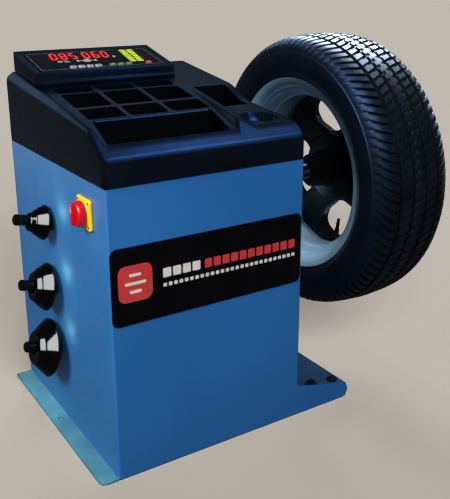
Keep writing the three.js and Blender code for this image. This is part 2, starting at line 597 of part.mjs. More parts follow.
// ---- electrics ----
function electrics() {
  const y0 = YF + SHEET + GAP;
  const lid = box(-140, 110, y0, y0 + 38, 250, 430);
  const terminals = box(-120, 90, y0 + 30, y0 + 50, 238, 262);
  add('control_unit', 'blackPlastic', union(lid, terminals));
  const z0 = BASE_T + GAP;
  const core = box(-185, -95, 110, 180, z0 + 6, z0 + 86);
  const coil = box(-175, -105, 96, 194, z0 + 22, z0 + 70);
  const feet = box(-192, -88, 118, 172, z0, z0 + 7);
  add('transformer', 'copper', union(core, coil, feet));
  const faceY = YB + GAP;
  const bezel = plateXZ(roundRect(-182, -138, 52, 92, 4), faceY, faceY + 3);
  const shell = box(-172.5, -147.5, YB - 28, YB + 2, 61.5, 82.5);
  const socket = box(-169, -151, YB - 14, YB + 12, 65, 79);
  const pins = [-165, -160, -155].map((x) => box(x - 1, x + 1, YB - 16, YB - 1, 70, 74));
  const body = solid(bezel).add(solid(shell)).subtract(solid(socket));
  add('power_inlet', 'blackPlastic', meshOf(pins.reduce((a, p) => a.add(solid(p)), body)));
}

// ---- wheel ----
function tyreProfile() {
  const c = RIM_IN_X + RIM_W / 2;
  const h = TYRE_W / 2;
  const outer = [
    [-83.1, 204], [-85.1, 217.2], [-88.2, 222.6], [-97, 226], [-h, 250], [-h + 1, 270], [-h + 10, 296],
    [-h + 24, 308],
  ];
  const grooves = [-52, -18, 18, 52].flatMap((g) => [
    [g - 5, TYRE_R - (g * g) / 900], [g - 4, TYRE_R - 8], [g + 4, TYRE_R - 8], [g + 5, TYRE_R - (g * g) / 900],
  ]);
  const mirrored = outer.slice().reverse().map(([x, r]) => [-x, r]);
  const inner = [
    [70, 204], [78, 216], [92, 250], [84, 284], [66, 299], [-66, 299], [-84, 284], [-92, 250], [-78, 216],
    [-70, 204],
  ];
  return [...outer, ...grooves, ...mirrored, ...inner].map(([x, r]) => [c + x, r]);
}

function rimBarrel() {
  const c = RIM_IN_X + RIM_W / 2;
  const h = RIM_W / 2;
  const outside = [
    [-h, RIM_R - 3], [-h + 1, RIM_R], [-h + 5, RIM_R], [-h + 8, RIM_R - 5], [-h + 10, 203.6], [-h + 32, 202.4],
    [-h + 42, 184], [-4, 184], [18, 201], [h - 10, 203.6], [h - 8, RIM_R - 5], [h - 5, RIM_R], [h - 1, RIM_R],
    [h, RIM_R - 3],
  ];
  const inside = [
    [h - 3, 208], [h - 14, 197], [24, 194], [2, 177], [-h + 44, 177], [-h + 30, 195], [-h + 14, 197], [-h + 3, 208],
  ];
  return [...outside, ...inside].map(([x, r]) => [c + x, r]);
}

// a two-piece wheel: a rolled barrel, and a spoked disc seated inside it
function wheel() {
  const barrel = turned(rimBarrel(), AXIS_Y, AXIS_Z, WHEEL_SEG);
  const disc = turned([
    [SEAT_X, 29], [SEAT_X, 78], [SEAT_X + 2, 110], [SEAT_X - 8, 179], [SEAT_X - 9, 194],
    [SEAT_X + 32, 196.2],
    [SEAT_X + 30, 110], [SEAT_X + 26, 60], [SEAT_X + 26, 29],
  ], AXIS_Y, AXIS_Z, WHEEL_SEG);
  // windows: a rounded trapezium between two spokes
  const toolOf = (deg) => {
    const polar = (r, a) => {
      const t = THREE.MathUtils.degToRad(deg + a);
      return [AXIS_Y - r * Math.cos(t), AXIS_Z + r * Math.sin(t)];
    };
    const outline = [
      [84, -15], [84, 15], [100, 24], [125, 27.5], [158, 27.5], [173, 23], [181, 12], [181, -12], [173, -23],
      [158, -27.5], [125, -27.5], [100, -24],
    ];
    const points = outline.map(([r, a]) => polar(r, a)).reverse();
    return plateYZ(points, SEAT_X - 40, SEAT_X + 60);
  };
  const windows = Array.from({ length: WINDOWS }, (_, i) => toolOf(WINDOW_START + (360 * i) / WINDOWS));
  const lugs = Array.from({ length: WINDOWS }, (_, i) => {
    const t = THREE.MathUtils.degToRad(WINDOW_START + (360 * (i + 0.5)) / WINDOWS);
    return rod('x', 8, SEAT_X - 10, SEAT_X + 40, AXIS_Y - 54 * Math.cos(t), AXIS_Z + 54 * Math.sin(t), 12);
  });
  // the valve stands in the barrel outboard of the disc and points at the axis
  const radial = (r, from, to) => rod('z', r, from, to, SEAT_X + 42, 0, 14)
    .rotateX(THREE.MathUtils.degToRad(90 - VALVE_DEG)).translate(0, AXIS_Y, AXIS_Z);
  add('rim_disc', 'alloy', cut(disc, ...windows, ...lugs));
  add('rim_barrel', 'alloy', cut(barrel, radial(5.8, 150, 215)));
  add('valve_stem', 'blackPlastic', union(radial(5.4, 176, 203.2), radial(3.6, 160, 178)));
  add('tyre', 'rubber', turned(tyreProfile(), AXIS_Y, AXIS_Z, WHEEL_SEG));
}

function quickNut() {
  const at = (profile, n = 30) => turned(profile.slice(), AXIS_Y, AXIS_Z, n);
  add('clamp_cone', 'coneSteel', at([
    [SEAT_X + 12, THREAD_R + GAP], [SEAT_X + 12, 24], [SEAT_X + 26, 28.6], [SEAT_X + 30, 44], [SEAT_X + 34, 46],
    [SEAT_X + 44, 46], [SEAT_X + 44, THREAD_R + GAP],
  ]));
  const x = SEAT_X + 44 + GAP;
  const cup = at([
    [x, THREAD_R + GAP], [x, 52], [x + 8, 58], [x + 26, 58], [x + 32, 44], [x + 62, 40], [x + 64, 36],
    [x + 64, THREAD_R + GAP],
  ]);
  const grips = [0, 1, 2, 3].map((i) => {
    const bar = box(x + 10, x + 26, AXIS_Y - 8, AXIS_Y + 8, AXIS_Z + 50, AXIS_Z + 88);
    const turn = new THREE.Matrix4().makeTranslation(0, AXIS_Y, AXIS_Z)
      .multiply(new THREE.Matrix4().makeRotationX((i * Math.PI) / 2 + 0.5))
      .multiply(new THREE.Matrix4().makeTranslation(0, -AXIS_Y, -AXIS_Z));
    return bar.applyMatrix4(turn);
  });
  add('quick_nut', 'blackPlastic', union(cup, ...grips));
}

cabinet();
foot();
tray();
consoleUnit();
mainSwitch();
pegs();
spindle();
drive();
measuring();
electrics();
wheel();
quickNut();

export default root;
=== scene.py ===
"""Wheel balancer: detailed surfaces, materials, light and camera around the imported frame.

Lengths are millimetres in the part's frame: +X towards the wheel, -Y towards the operator, +Z up, origin
on the floor under the middle of the cabinet. Objects are made in metres. A solid is a pair: a list of
vertices, and a list of faces as vertex numbers.
"""

from math import copysign, cos, hypot, pi, radians, sin, sqrt

import bmesh
import bpy
from mathutils import Matrix, Vector


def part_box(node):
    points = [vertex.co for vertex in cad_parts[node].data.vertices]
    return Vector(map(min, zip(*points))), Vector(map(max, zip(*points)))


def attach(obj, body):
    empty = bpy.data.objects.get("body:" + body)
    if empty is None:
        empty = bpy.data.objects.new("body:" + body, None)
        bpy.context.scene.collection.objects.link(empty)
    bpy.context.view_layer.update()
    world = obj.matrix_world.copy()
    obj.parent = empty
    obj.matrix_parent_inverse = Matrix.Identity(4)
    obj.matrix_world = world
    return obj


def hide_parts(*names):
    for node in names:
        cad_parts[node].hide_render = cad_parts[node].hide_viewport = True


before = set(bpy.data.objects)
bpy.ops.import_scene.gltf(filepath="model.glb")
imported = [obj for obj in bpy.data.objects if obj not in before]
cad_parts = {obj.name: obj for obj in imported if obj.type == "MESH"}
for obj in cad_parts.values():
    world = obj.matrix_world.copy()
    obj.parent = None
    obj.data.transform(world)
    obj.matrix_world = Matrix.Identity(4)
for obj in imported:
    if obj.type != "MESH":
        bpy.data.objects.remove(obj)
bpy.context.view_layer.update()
MM = 0.001


def box_mm(node):
    """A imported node's lowest and highest corners."""
    low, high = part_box(node)
    return low / MM, high / MM


def centre_mm(node):
    """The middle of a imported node's box, as x, y and z."""
    return [(a + b) / 2 for a, b in zip(*box_mm(node))]


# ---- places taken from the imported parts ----
XL, XR = box_mm("left_panel")[0].x, box_mm("right_panel")[1].x
YF, YB = box_mm("front_panel")[0].y, box_mm("rear_panel")[1].y
CAB_TOP = box_mm("top_plate")[1].z
AXIS = Vector((0, *centre_mm("spindle_shaft")[1:]))
SEAT_X = box_mm("backplate")[1].x + 0.3
RIM_X = [corner.x for corner in box_mm("rim_barrel")]
WHEEL_X = sum(RIM_X) / 2

# ---- shapes ----


def smoothstep(a, b, t):
    t = min(max((t - a) / (b - a), 0.0), 1.0)
    return t * t * (3 - 2 * t)


def mix(a, b, t):
    return a + (b - a) * t


def soft_min(a, b, k):
    """The smaller of two heights, blended over a step of k."""
    h = max(k - abs(a - b), 0.0) / k
    return min(a, b) - h * h * k / 4


def along(points, x):
    """Straight-line reading of a table of (x, y) points."""
    if x <= points[0][0]:
        return points[0][1]
    for (x0, y0), (x1, y1) in zip(points, points[1:]):
        if x <= x1:
            return mix(y0, y1, (x - x0) / (x1 - x0))
    return points[-1][1]


def rounded(points, radius, steps=4, closed=True):
    """A polyline with each corner replaced by a short curve."""
    out = []
    count = len(points)
    for i, p in enumerate(points):
        corner = Vector(p)
        back, ahead = Vector(points[i - 1]) - corner, Vector(points[(i + 1) % count]) - corner
        reach = min(radius, back.length * 0.45, ahead.length * 0.45)
        if reach < 1e-4 or (not closed and i in (0, count - 1)):
            out.append(tuple(p))
            continue
        start, end = corner + back.normalized() * reach, corner + ahead.normalized() * reach
        for k in range(steps + 1):
            t = k / steps
            out.append(tuple(start.lerp(corner, t).lerp(corner.lerp(end, t), t)))
    return out


def round_rect(x0, x1, y0, y1, radius, steps=6):
    """A rounded rectangle, anticlockwise."""
    corners = [(x1 - radius, y1 - radius, 0), (x0 + radius, y1 - radius, 90),
               (x0 + radius, y0 + radius, 180), (x1 - radius, y0 + radius, 270)]
    out = []
    for cx, cy, start in corners:
        for k in range(steps + 1):
            a = radians(start + 90 * k / steps)
            out.append((cx + radius * cos(a), cy + radius * sin(a)))
    return out


def circle(cx, cy, radius, count=48):
    step = 2 * pi / count
    return [(cx + radius * cos(k * step), cy + radius * sin(k * step)) for k in range(count)]


def lathe(profile, segments=96, y=AXIS.y, z=AXIS.z):
    """A closed outline of (x, radius) turned about an axis along X."""
    verts, rings = [], []
    for x, r in profile:
        if r < 1e-3:
            rings.append([len(verts)])
            verts.append((x, y, z))
            continue
        rings.append(range(len(verts), len(verts) + segments))
        for k in range(segments):
            a = 2 * pi * k / segments
            verts.append((x, y + r * cos(a), z + r * sin(a)))
    faces = []
    for i, ring in enumerate(rings):
        other = rings[(i + 1) % len(rings)]
        for k in range(segments):
            n = (k + 1) % segments
            quad = [ring[k % len(ring)], ring[n % len(ring)], other[n % len(other)], other[k % len(other)]]
            face = list(dict.fromkeys(quad))
            if len(face) > 2:
                faces.append(face)
    return verts, faces


def band(a, b):
    """The four-sided faces between two closed loops of points."""
    ahead = [(k + 1) % len(a) for k in range(len(a))]
    return [[a[k], a[n], b[n], b[k]] for k, n in enumerate(ahead)]


def between(near, far):
    """A solid between two outlines that have the same number of points."""
    n = len(near)
    sides = band(range(n), range(n, 2 * n))
    return near + far, [list(range(n)), list(range(2 * n - 1, n - 1, -1)), *sides]


def prism(outline, a, b, plane="xz"):
    """An outline drawn in a plane and thickened from a to b along the third axis."""
    def place(p, t):
        return {"xz": (p[0], t, p[1]), "yz": (t, *p), "xy": (*p, t)}[plane]

    return between([place(p, a) for p in outline], [place(p, b) for p in outline])


def block(x0, x1, y0, y1, z0, z1):
    return prism([(x0, y0), (x1, y0), (x1, y1), (x0, y1)], z0, z1, "xy")


def grid(rows, columns):
    """The faces of a grid of points, and the loop of points round its border."""
    faces = []
    for j in range(rows - 1):
        for i in range(columns - 1):
            a = j * columns + i
            faces.append([a, a + 1, a + columns + 1, a + columns])
    border = list(range(columns)) + [j * columns + columns - 1 for j in range(1, rows)]
    border += [(rows - 1) * columns + i for i in range(columns - 2, -1, -1)]
    border += [j * columns for j in range(rows - 2, 0, -1)]
    return faces, border


def joined(*solids):
    """Several solids as one."""
    verts, faces = [], []
    for more_verts, more_faces in solids:
        start = len(verts)
        verts += more_verts
        faces += [[start + i for i in f] for f in more_faces]
    return verts, faces


def moved(solid, matrix):
    verts, faces = solid
    return [tuple(matrix @ Vector(v)) for v in verts], faces


def shift(x, y, z):
    return Matrix.Translation((x, y, z))


def turn(degrees, axis):
    return Matrix.Rotation(radians(degrees), 4, axis)


# ---- meshes and pieces ----


def to_bmesh(verts, faces):
    bm = bmesh.new()
    made = [bm.verts.new(v) for v in verts]
    for f in faces:
        try:
            bm.faces.new([made[i] for i in f])
        except ValueError:  # the same face twice
            continue
    bm.verts.index_update()
    bmesh.ops.recalc_face_normals(bm, faces=bm.faces)
    return bm


def from_bmesh(bm):
    """A bmesh as a solid. The bmesh is freed."""
    bm.verts.index_update()
    solid = [tuple(v.co) for v in bm.verts], [[v.index for v in f.verts] for f in bm.faces]
    bm.free()
    return solid


def bevelled(solid, width, steps=3, angle=30):
    """The same solid with its sharp edges rounded."""
    bm = to_bmesh(*solid)
    limit = radians(angle)
    sharp = [e for e in bm.edges if len(e.link_faces) == 2 and e.calc_face_angle(0) > limit]
    bmesh.ops.bevel(bm, geom=sharp, offset=width, segments=steps, profile=0.5, affect="EDGES",
                    clamp_overlap=True)
    return from_bmesh(bm)


def add_to_scene(obj):
    bpy.context.scene.collection.objects.link(obj)


def piece(name, solid, finish, *nodes, body="cabinet", replaces=True, smooth=32):
    """Makes a solid into an object that rides on a body and stands for nodes, which it hides unless replaces
    is off.
    """
    bm = to_bmesh(*solid)
    bmesh.ops.remove_doubles(bm, verts=bm.verts, dist=1e-4)
    bmesh.ops.dissolve_degenerate(bm, edges=bm.edges, dist=1e-5)
    bmesh.ops.recalc_face_normals(bm, faces=bm.faces)
    bmesh.ops.scale(bm, vec=(MM, MM, MM), verts=bm.verts)
    mesh = bpy.data.meshes.new(name)
    bm.to_mesh(mesh)
    bm.free()
    for p in mesh.polygons:
        p.use_smooth = True
    mesh.set_sharp_from_angle(angle=radians(smooth))
    mesh.materials.append(FINISHES[finish])
    obj = bpy.data.objects.new(name, mesh)
    add_to_scene(obj)
    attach(obj, body)
    if replaces:
        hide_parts(*nodes)
    return obj


def detail(name, solid, finish, node, body="cabinet"):
    """A piece added to a node that it doesn't stand for."""
    piece(name, solid, finish, node, body=body, replaces=False)


def second_finish(obj, finish, wanted):
    """Gives a second material to the faces that wanted() picks."""
    obj.data.materials.append(FINISHES[finish])
    for face in obj.data.polygons:
        if wanted(face):
            face.material_index = 1


# ---- materials ----

ROUGH_VARY = 0.12


def set_inputs(node, values):
    for socket, value in values.items():
        node.inputs[socket].default_value = value


def surface(name, colour, rough, vary, mottle, grain, metallic=0.0, coat=0.0, coat_rough=0.1, specular=0.5,
            tint=None, second=None, emission=None, stretch=(1, 1, 1), painted_low_shade=None):
    """A procedural material: mottled colour, uneven roughness and a fine bump, all in object space."""
    fineness, strength, depth = grain
    mat = bpy.data.materials.new(name)
    mat.use_nodes = True
    nodes, link = mat.node_tree.nodes, mat.node_tree.links.new
    shader = nodes["Principled BSDF"]
    set_inputs(shader, {"Metallic": metallic, "Coat Weight": coat, "Coat Roughness": coat_rough,
                        "Specular IOR Level": specular})
    if tint:
        set_inputs(shader, {"Specular Tint": (*tint, 1)})
    if emission:
        glow, power = emission
        set_inputs(shader, {"Emission Color": (*glow, 1), "Emission Strength": power})
    place = nodes.new("ShaderNodeTexCoord")
    stretched = nodes.new("ShaderNodeMapping")
    set_inputs(stretched, {"Scale": stretch})
    link(place.outputs["Object"], stretched.inputs["Vector"])

    def noise(scale, octaves, distortion=0.0):
        made = nodes.new("ShaderNodeTexNoise")
        set_inputs(made, {"Scale": scale, "Detail": octaves, "Distortion": distortion})
        link(stretched.outputs["Vector"], made.inputs["Vector"])
        return made.outputs["Fac"]

    def reading(source, low, high, start=0.3, end=0.7):
        made = nodes.new("ShaderNodeMapRange")
        set_inputs(made, {"From Min": start, "From Max": end, "To Min": low, "To Max": high})
        link(source, made.inputs["Value"])
        return made.outputs["Result"]

    mottling = noise(mottle, 5, 0.4)
    ramp = nodes.new("ShaderNodeValToRGB")
    dark = [c * (1 - vary) for c in colour]
    light = [min(c * (1 + vary), 1.0) for c in (second or colour)]
    for stop, tone, position in zip(ramp.color_ramp.elements, (dark, light), (0.32, 0.68)):
        stop.color = (*tone, 1)
        stop.position = position
    link(mottling, ramp.inputs["Fac"])
    base = ramp.outputs["Color"]
    if painted_low_shade:  # painted shade: a darker tone that thickens in patches from one height down to another
        tone, top, bottom, share = painted_low_shade
        split = nodes.new("ShaderNodeSeparateXYZ")
        link(place.outputs["Object"], split.inputs["Vector"])
        patchy = nodes.new("ShaderNodeMath")
        patchy.operation = "MULTIPLY"
        link(reading(split.outputs["Z"], 0.0, share, top * MM, bottom * MM), patchy.inputs[0])
        link(reading(mottling, 0.35, 1.0), patchy.inputs[1])
        blend = nodes.new("ShaderNodeMix")
        blend.data_type = "RGBA"
        link(patchy.outputs["Value"], blend.inputs["Factor"])
        link(base, blend.inputs["A"])
        blend.inputs["B"].default_value = (*tone, 1)
        base = blend.outputs["Result"]
    link(base, shader.inputs["Base Color"])
    least, most = rough * (1 - ROUGH_VARY), min(rough * (1 + ROUGH_VARY), 1.0)
    link(reading(noise(mottle * 5, 4), least, most), shader.inputs["Roughness"])
    relief = nodes.new("ShaderNodeBump")
    set_inputs(relief, {"Strength": strength, "Distance": depth})
    link(noise(fineness, 3), relief.inputs["Height"])
    link(relief.outputs["Normal"], shader.inputs["Normal"])
    return mat


COOL = (0.42, 0.62, 1.0)  # tint of reflections on the dark plastics
BLUE = (0.01, 0.105, 0.34)

# grain: its fineness, bump strength and depth in metres
POWDER = (520, 0.1, 0.0003)
SATIN = (900, 0.05, 0.0001)
FILM = (300, 0.02, 0.0001)
KEYCAP = (900, 0.12, 0.0002)
MOULDED = (700, 0.08, 0.0002)
BRUSHED = (500, 0.1, 0.0002)
TREAD = (700, 0.22, 0.0003)
GLOW = (500, 0.02, 0.0001)

FINISHES = {  # name, colour, roughness, colour variation, scale of the mottling, grain
    # the blue paint's darker tone towards the floor is painted shade
    "paint": surface(
        "powder_blue", BLUE, 0.4, 0.05, 4, POWDER, coat=0.06, coat_rough=0.22, specular=0.8,
        second=(0.013, 0.118, 0.37), painted_low_shade=((0.008, 0.062, 0.235), 300, 0, 0.45)),
    # painted light: a lighter, greyer copy of the blue paint for the base plate, standing for the light on
    # its upward flange
    "paint_lit_copy": surface(
        "powder_blue_flange", (0.038, 0.138, 0.24), 0.36, 0.1, 8, POWDER, coat=0.1,
        coat_rough=0.25, second=(0.065, 0.26, 0.4)),
    # dust, and painted shade of the wheel's shadow: a darker, greyer copy of the blue paint for the foot
    "paint_step_dust_and_shade": surface(
        "powder_blue_trodden", (0.02, 0.068, 0.16), 0.46, 0.12, 30, POWDER, specular=0.7,
        second=(0.03, 0.082, 0.18)),
    "abs": surface(
        "tray_black", (0.002, 0.0028, 0.005), 0.3, 0.25, 9, SATIN, specular=0.45, tint=COOL,
        second=(0.003, 0.0045, 0.009)),
    # painted shade: a darker, duller black for the walls and floors of the tray's pockets
    "abs_pocket_shade": surface(
        "pocket_black", (0.0016, 0.0018, 0.0022), 0.6, 0.25, 9, SATIN, specular=0.03),
    "console": surface(
        "console_black", (0.0022, 0.0028, 0.005), 0.36, 0.3, 9, (1100, 0.1, 0.0001), specular=0.35,
        tint=COOL, second=(0.0035, 0.005, 0.01)),
    "gloss": surface(
        "display_film", (0.002, 0.0025, 0.0045), 0.14, 0.3, 14, FILM, specular=0.35, tint=COOL),
    "window": surface("display_window", (0.012, 0.002, 0.003), 0.1, 0.3, 20, FILM),
    "label": surface(
        "label_black", (0.0022, 0.0022, 0.003), 0.48, 0.3, 12, (700, 0.06, 0.0002), specular=0.12),
    "label_white": surface("label_print_white", (0.58, 0.58, 0.58), 0.45, 0.08, 40, SATIN),
    "label_red": surface("label_print_red", (0.46, 0.035, 0.038), 0.45, 0.1, 40, SATIN),
    "label_grey": surface("label_print_grey", (0.16, 0.17, 0.19), 0.45, 0.1, 40, SATIN),
    "yellow": surface(
        "switch_yellow", (0.66, 0.43, 0.01), 0.32, 0.07, 30, MOULDED, second=(0.74, 0.52, 0.02)),
    "red": surface("switch_red", (0.38, 0.003, 0.01), 0.3, 0.1, 30, MOULDED, coat=0.2),
    "led_red": surface(
        "led_red", (0.6, 0.02, 0.02), 0.4, 0.2, 60, GLOW, emission=((0.85, 0.03, 0.035), 0.42)),
    "led_green": surface(
        "led_green", (0.35, 0.6, 0.02), 0.4, 0.2, 60, GLOW, emission=((0.42, 0.5, 0.02), 0.42)),
    "print": surface("panel_print", (0.55, 0.6, 0.66), 0.5, 0.15, 60, (600, 0.03, 0.0001)),
    "key_white": surface("key_white", (0.24, 0.3, 0.34), 0.5, 0.1, 50, KEYCAP),
    "key_green": surface("key_green", (0.05, 0.14, 0.08), 0.5, 0.12, 50, KEYCAP),
    "key_red": surface("key_red", (0.3, 0.04, 0.05), 0.5, 0.12, 50, KEYCAP),
    "cone": surface(
        "cone_black", (0.0018, 0.0018, 0.0022), 0.08, 0.3, 16, (320, 0.015, 0.0001), specular=0.18,
        stretch=(8, 1, 1)),
    "peg": surface("peg_black", (0.003, 0.003, 0.004), 0.34, 0.3, 20, BRUSHED, specular=0.2),
    "steel": surface(
        "turned_steel", (0.52, 0.54, 0.57), 0.27, 0.08, 30, (260, 0.1, 0.0002), metallic=1.0,
        stretch=(14, 1, 1)),
    "dark_steel": surface(
        "blackened_steel", (0.016, 0.017, 0.02), 0.4, 0.2, 24, (300, 0.1, 0.0002), metallic=0.8,
        stretch=(10, 1, 1)),
    "cast": surface("cast_black", (0.006, 0.0065, 0.008), 0.58, 0.3, 30, (260, 0.5, 0.0008), specular=0.3),
    "bolt": surface("zinc_bolt", (0.03, 0.055, 0.11), 0.4, 0.15, 60, BRUSHED, metallic=0.9),
    "alloy": surface(
        "rim_alloy", (0.22, 0.31, 0.4), 0.34, 0.1, 10, (380, 0.06, 0.0002), metallic=0.45,
        second=(0.28, 0.38, 0.47)),
    # painted shade: near-black for the disc's inboard side, which lies in the wheel's shadow
    "alloy_back_shade": surface(
        "rim_back", (0.0035, 0.004, 0.0055), 0.46, 0.3, 14, (300, 0.2, 0.0004), specular=0.3,
        second=(0.007, 0.008, 0.011)),
    "tread": surface(
        "tyre_tread", (0.0022, 0.0026, 0.0036), 0.46, 0.3, 18, TREAD, tint=COOL,
        second=(0.0036, 0.0042, 0.006)),
    "groove": surface(
        "tyre_groove", (0.003, 0.0036, 0.005), 0.7, 0.3, 18, TREAD, specular=0.14),
    "rubber": surface("rubber_parts", (0.01, 0.01, 0.011), 0.6, 0.3, 30, (700, 0.3, 0.0004), specular=0.4),
    "nut": surface("nut_plastic", (0.004, 0.004, 0.005), 0.42, 0.3, 30, (600, 0.2, 0.0003), specular=0.3),
    "motor": surface("motor_grey", (0.1, 0.12, 0.13), 0.5, 0.15, 20, (400, 0.25, 0.0004)),
    "copper": surface("winding", (0.24, 0.13, 0.06), 0.5, 0.25, 60, (600, 0.4, 0.0005), metallic=0.4),
}

CARRIED = {  # the CAD nodes that keep their shape, by material
    "paint_lit_copy": ["base_plate"],
    "paint": ["right_panel", "rear_panel"],
    "paint_step_dust_and_shade": ["right_foot"],
    "abs": ["control_unit"],
    "steel": ["driven_pulley", "motor_pulley", "motor_shaft", "bearing_1", "bearing_2", "encoder_disc",
              "force_sensor_1", "force_sensor_2"],
    "dark_steel": ["top_plate", "encoder_arm", "motor_shelf"],
    "cast": ["support_column"],
    "rubber": ["drive_belt", "encoder_sensor"],
    "nut": ["power_inlet"],
    "motor": ["motor"],
    "copper": ["transformer"],
}


def carried_over():
    """A material for each CAD node that stays, and a small rounding on its sharp edges."""
    for finish, names in CARRIED.items():
        for name in names:
            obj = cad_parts[name]
            obj.data.materials.clear()
            obj.data.materials.append(FINISHES[finish])
            edge = obj.modifiers.new("edge", "BEVEL")
            edge.width = 0.5 * MM
            edge.segments = 2
            edge.limit_method = "ANGLE"
            edge.angle_limit = radians(40)


# ---- cabinet ----

BEND_R = 5.0
SHEET = 2.0


def cabinet_skin():
    """Front and left panels as one bent sheet, with the lip that runs on over the foot."""
    low, high = box_mm("front_panel")
    bottom, top, tip = low.z, high.z, high.x
    left_bottom = box_mm("left_panel")[0].z
    lip = rounded([(XR, top), (XR, 73), (XR + 6, 66), (XR + 20, 63), (tip - 9, 33.5), (tip - 2, 25),
                   (tip, 16), (tip - 5, 5), (tip - 14, 0)], 9, 5, closed=False)
    bend = []
    steps = 6
    for k in range(steps + 1):
        a = radians(90 * k / steps)
        bend.append((XL + BEND_R - BEND_R * sin(a), YF + BEND_R - BEND_R * cos(a)))
    front = [(x, YF, z) for x, z in lip] + [(*bend[0], bottom), (*bend[0], top)]
    strips = [[(*p, top), (*p, bottom), (*q, bottom), (*q, top)] for p, q in zip(bend, bend[1:])]
    left = [(*bend[-1], z) for z in (top, bottom, left_bottom)] + [(XL, YB, left_bottom), (XL, YB, top)]
    bm = bmesh.new()
    for outline in (front, *strips, left):
        bm.faces.new([bm.verts.new(p) for p in outline])
    bmesh.ops.remove_doubles(bm, verts=bm.verts, dist=1e-3)
    bmesh.ops.recalc_face_normals(bm, faces=bm.faces)
    bm.normal_update()
    front_face = max(bm.faces, key=lambda f: abs(f.normal.y) * f.calc_area())
    if front_face.normal.y > 0:
        bmesh.ops.reverse_faces(bm, faces=bm.faces)
    bmesh.ops.solidify(bm, geom=bm.faces[:], thickness=SHEET)
    skin = bevelled(from_bmesh(bm), 0.6, 2)
    piece("cabinet_skin", skin, "paint", "front_panel", "left_panel")


def vent(y, z):
    """A louvre pressed out of a plate that faces +Y: a rounded bulge, 120 long and 12 high."""
    rows, columns = 9, 15
    verts = []
    for r in range(rows):
        t = r / (rows - 1)
        out = 4.6 * sin(pi * t) ** 0.8
        for s in range(columns):
            u = s / (columns - 1)
            lift = min(min(u, 1 - u) * 120 / 8, 1.0)
            verts.append((-60 + 120 * u, y + out * sqrt(lift), z + 12 * t))
    faces, border = grid(rows, columns)
    return verts, [*faces, border[::-1]]


def screw_head(x, y, z, r=5.0, h=2.6):
    """A domed screw with a round socket, facing +Y."""
    profile = [(0, 0), (0, r), (h * 0.35, r), (h * 0.75, r * 0.86), (h, r * 0.6), (h, r * 0.42),
               (h * 0.35, r * 0.4), (h * 0.35, 0)]
    return moved(lathe(profile, 24, 0, 0), shift(x, y, z) @ turn(90, "Z"))


def rear_cover():
    low, high = box_mm("rear_cover")
    y0, y1 = low.y, low.y + 1.5
    plate = bevelled(prism(round_rect(low.x, high.x, low.z, high.z, 8), y0, y1), 0.5, 2)
    vents = [vent(y0 + 1.2, 400 + 18 * k) for k in range(5)]
    screws = [screw_head(x, y1, z) for x in (-140, 140) for z in (120, 315, 510)]
    piece("rear_cover_plate", joined(plate, *vents, *screws), "paint", "rear_cover")


def label():
    """A plain label plate: a red block with three level bars, a row of blocks and a row of dashes."""
    low, high = box_mm("label_plate")
    outline = round_rect(low.x, high.x, low.z, high.z, 14, 8)
    piece("label_sheet", bevelled(prism(outline, low.y, high.y), 0.5, 2), "label", "label_plate")
    y0, y1 = low.y - 0.25, low.y + 0.1
    cz = (low.z + high.z) / 2

    def show(name, solid, finish):
        detail(name, solid, finish, "label_plate")

    def row(x0, x1, z0, z1, count, gap, r):
        pitch = (x1 - x0 + gap) / count
        starts = [x0 + pitch * k for k in range(count)]
        return joined(*(prism(round_rect(x, x + pitch - gap, z0, z1, r, 3), y0, y1) for x in starts))

    mark = low.x + 48
    show("label_block", row(mark - 34, mark + 34, cz - 30, cz + 40, 1, 0, 14), "label_red")
    levels = [round_rect(mark - half, mark + half, z - 2.8, z + 2.8, 2.5, 3)
              for half, z in ((12, cz + 21), (21, cz + 5), (12, cz - 11))]
    show("label_levels", joined(*(prism(bar, low.y - 0.45, y0) for bar in levels)), "label_white")
    x0, middle, x1 = low.x + 104, low.x + 188, high.x - 16
    show("label_bar_white", row(x0, middle - 5, cz + 3, cz + 21, 4, 4, 2), "label_white")
    show("label_bar_red", row(middle + 5, x1, cz + 3, cz + 21, 11, 4, 2), "label_red")
    show("label_bar_fine", row(x0, x1, cz - 15, cz - 8, 27, 4, 1.5), "label_white")


def foot_bolts():
    z0 = box_mm("right_foot")[0].z + 31.3
    washer = lathe(rounded([(0, 6), (0, 12), (1.7, 12), (1.7, 6)], 0.5, 2), 40, 0, 0)
    corners = [radians(60 * k + 12) for k in range(6)]
    head = bevelled(prism([(10 * cos(a), 10 * sin(a)) for a in corners], 1.7, 7.2, "xy"), 0.7, 2)
    for node in ("foot_bolt_1", "foot_bolt_2"):
        x, y, _ = centre_mm(node)
        shank = prism(circle(0, 0, 5.5, 20), box_mm(node)[0].z - z0, 1.8, "xy")
        bolt = moved(joined(moved(washer, turn(-90, "Y")), head, shank), shift(x, y, z0))
        piece(node[5:], bolt, "bolt", node)


# ---- weight tray ----

TRAY_LOW, TRAY_HIGH = box_mm("weight_tray")
CORNER = 11.0  # radius of the corners on the plan
TOP_ROUND = 6.0
TROUGH = dict(v=(28, 135), left=(21, 40), right=(272, 295), depth=34)
COLUMNS = [(38, 116), (127, 206), (217, 300)]  # from and to, across
ROWS = [(144, 198, 30), (209, 284, 34), (293, 330, 16)]  # from and to, along, and depth
COMPARTMENT = (326, 408, 170, 262)
COMPARTMENT_DEPTH = 34
BOWL = (374, 78, 36, 24)
CREST = 8  # how far the left rim stands above the others
RIDGE = [(28, 300), (153, 314), (258, 326), (345, 330)]


def in_round_rect(u, v, u0, u1, v0, v1, r):
    """Distance inside a rounded rectangle, negative outside."""
    qx = abs(u - (u0 + u1) / 2) - (u1 - u0) / 2 + r
    qy = abs(v - (v0 + v1) / 2) - (v1 - v0) / 2 + r
    return -(hypot(max(qx, 0), max(qy, 0)) + min(max(qx, qy), 0) - r)


def deck_low(v):
    """Height of the right-hand side of the tray, beyond the ridge."""
    return CAB_TOP + 68 + 0.11 * v


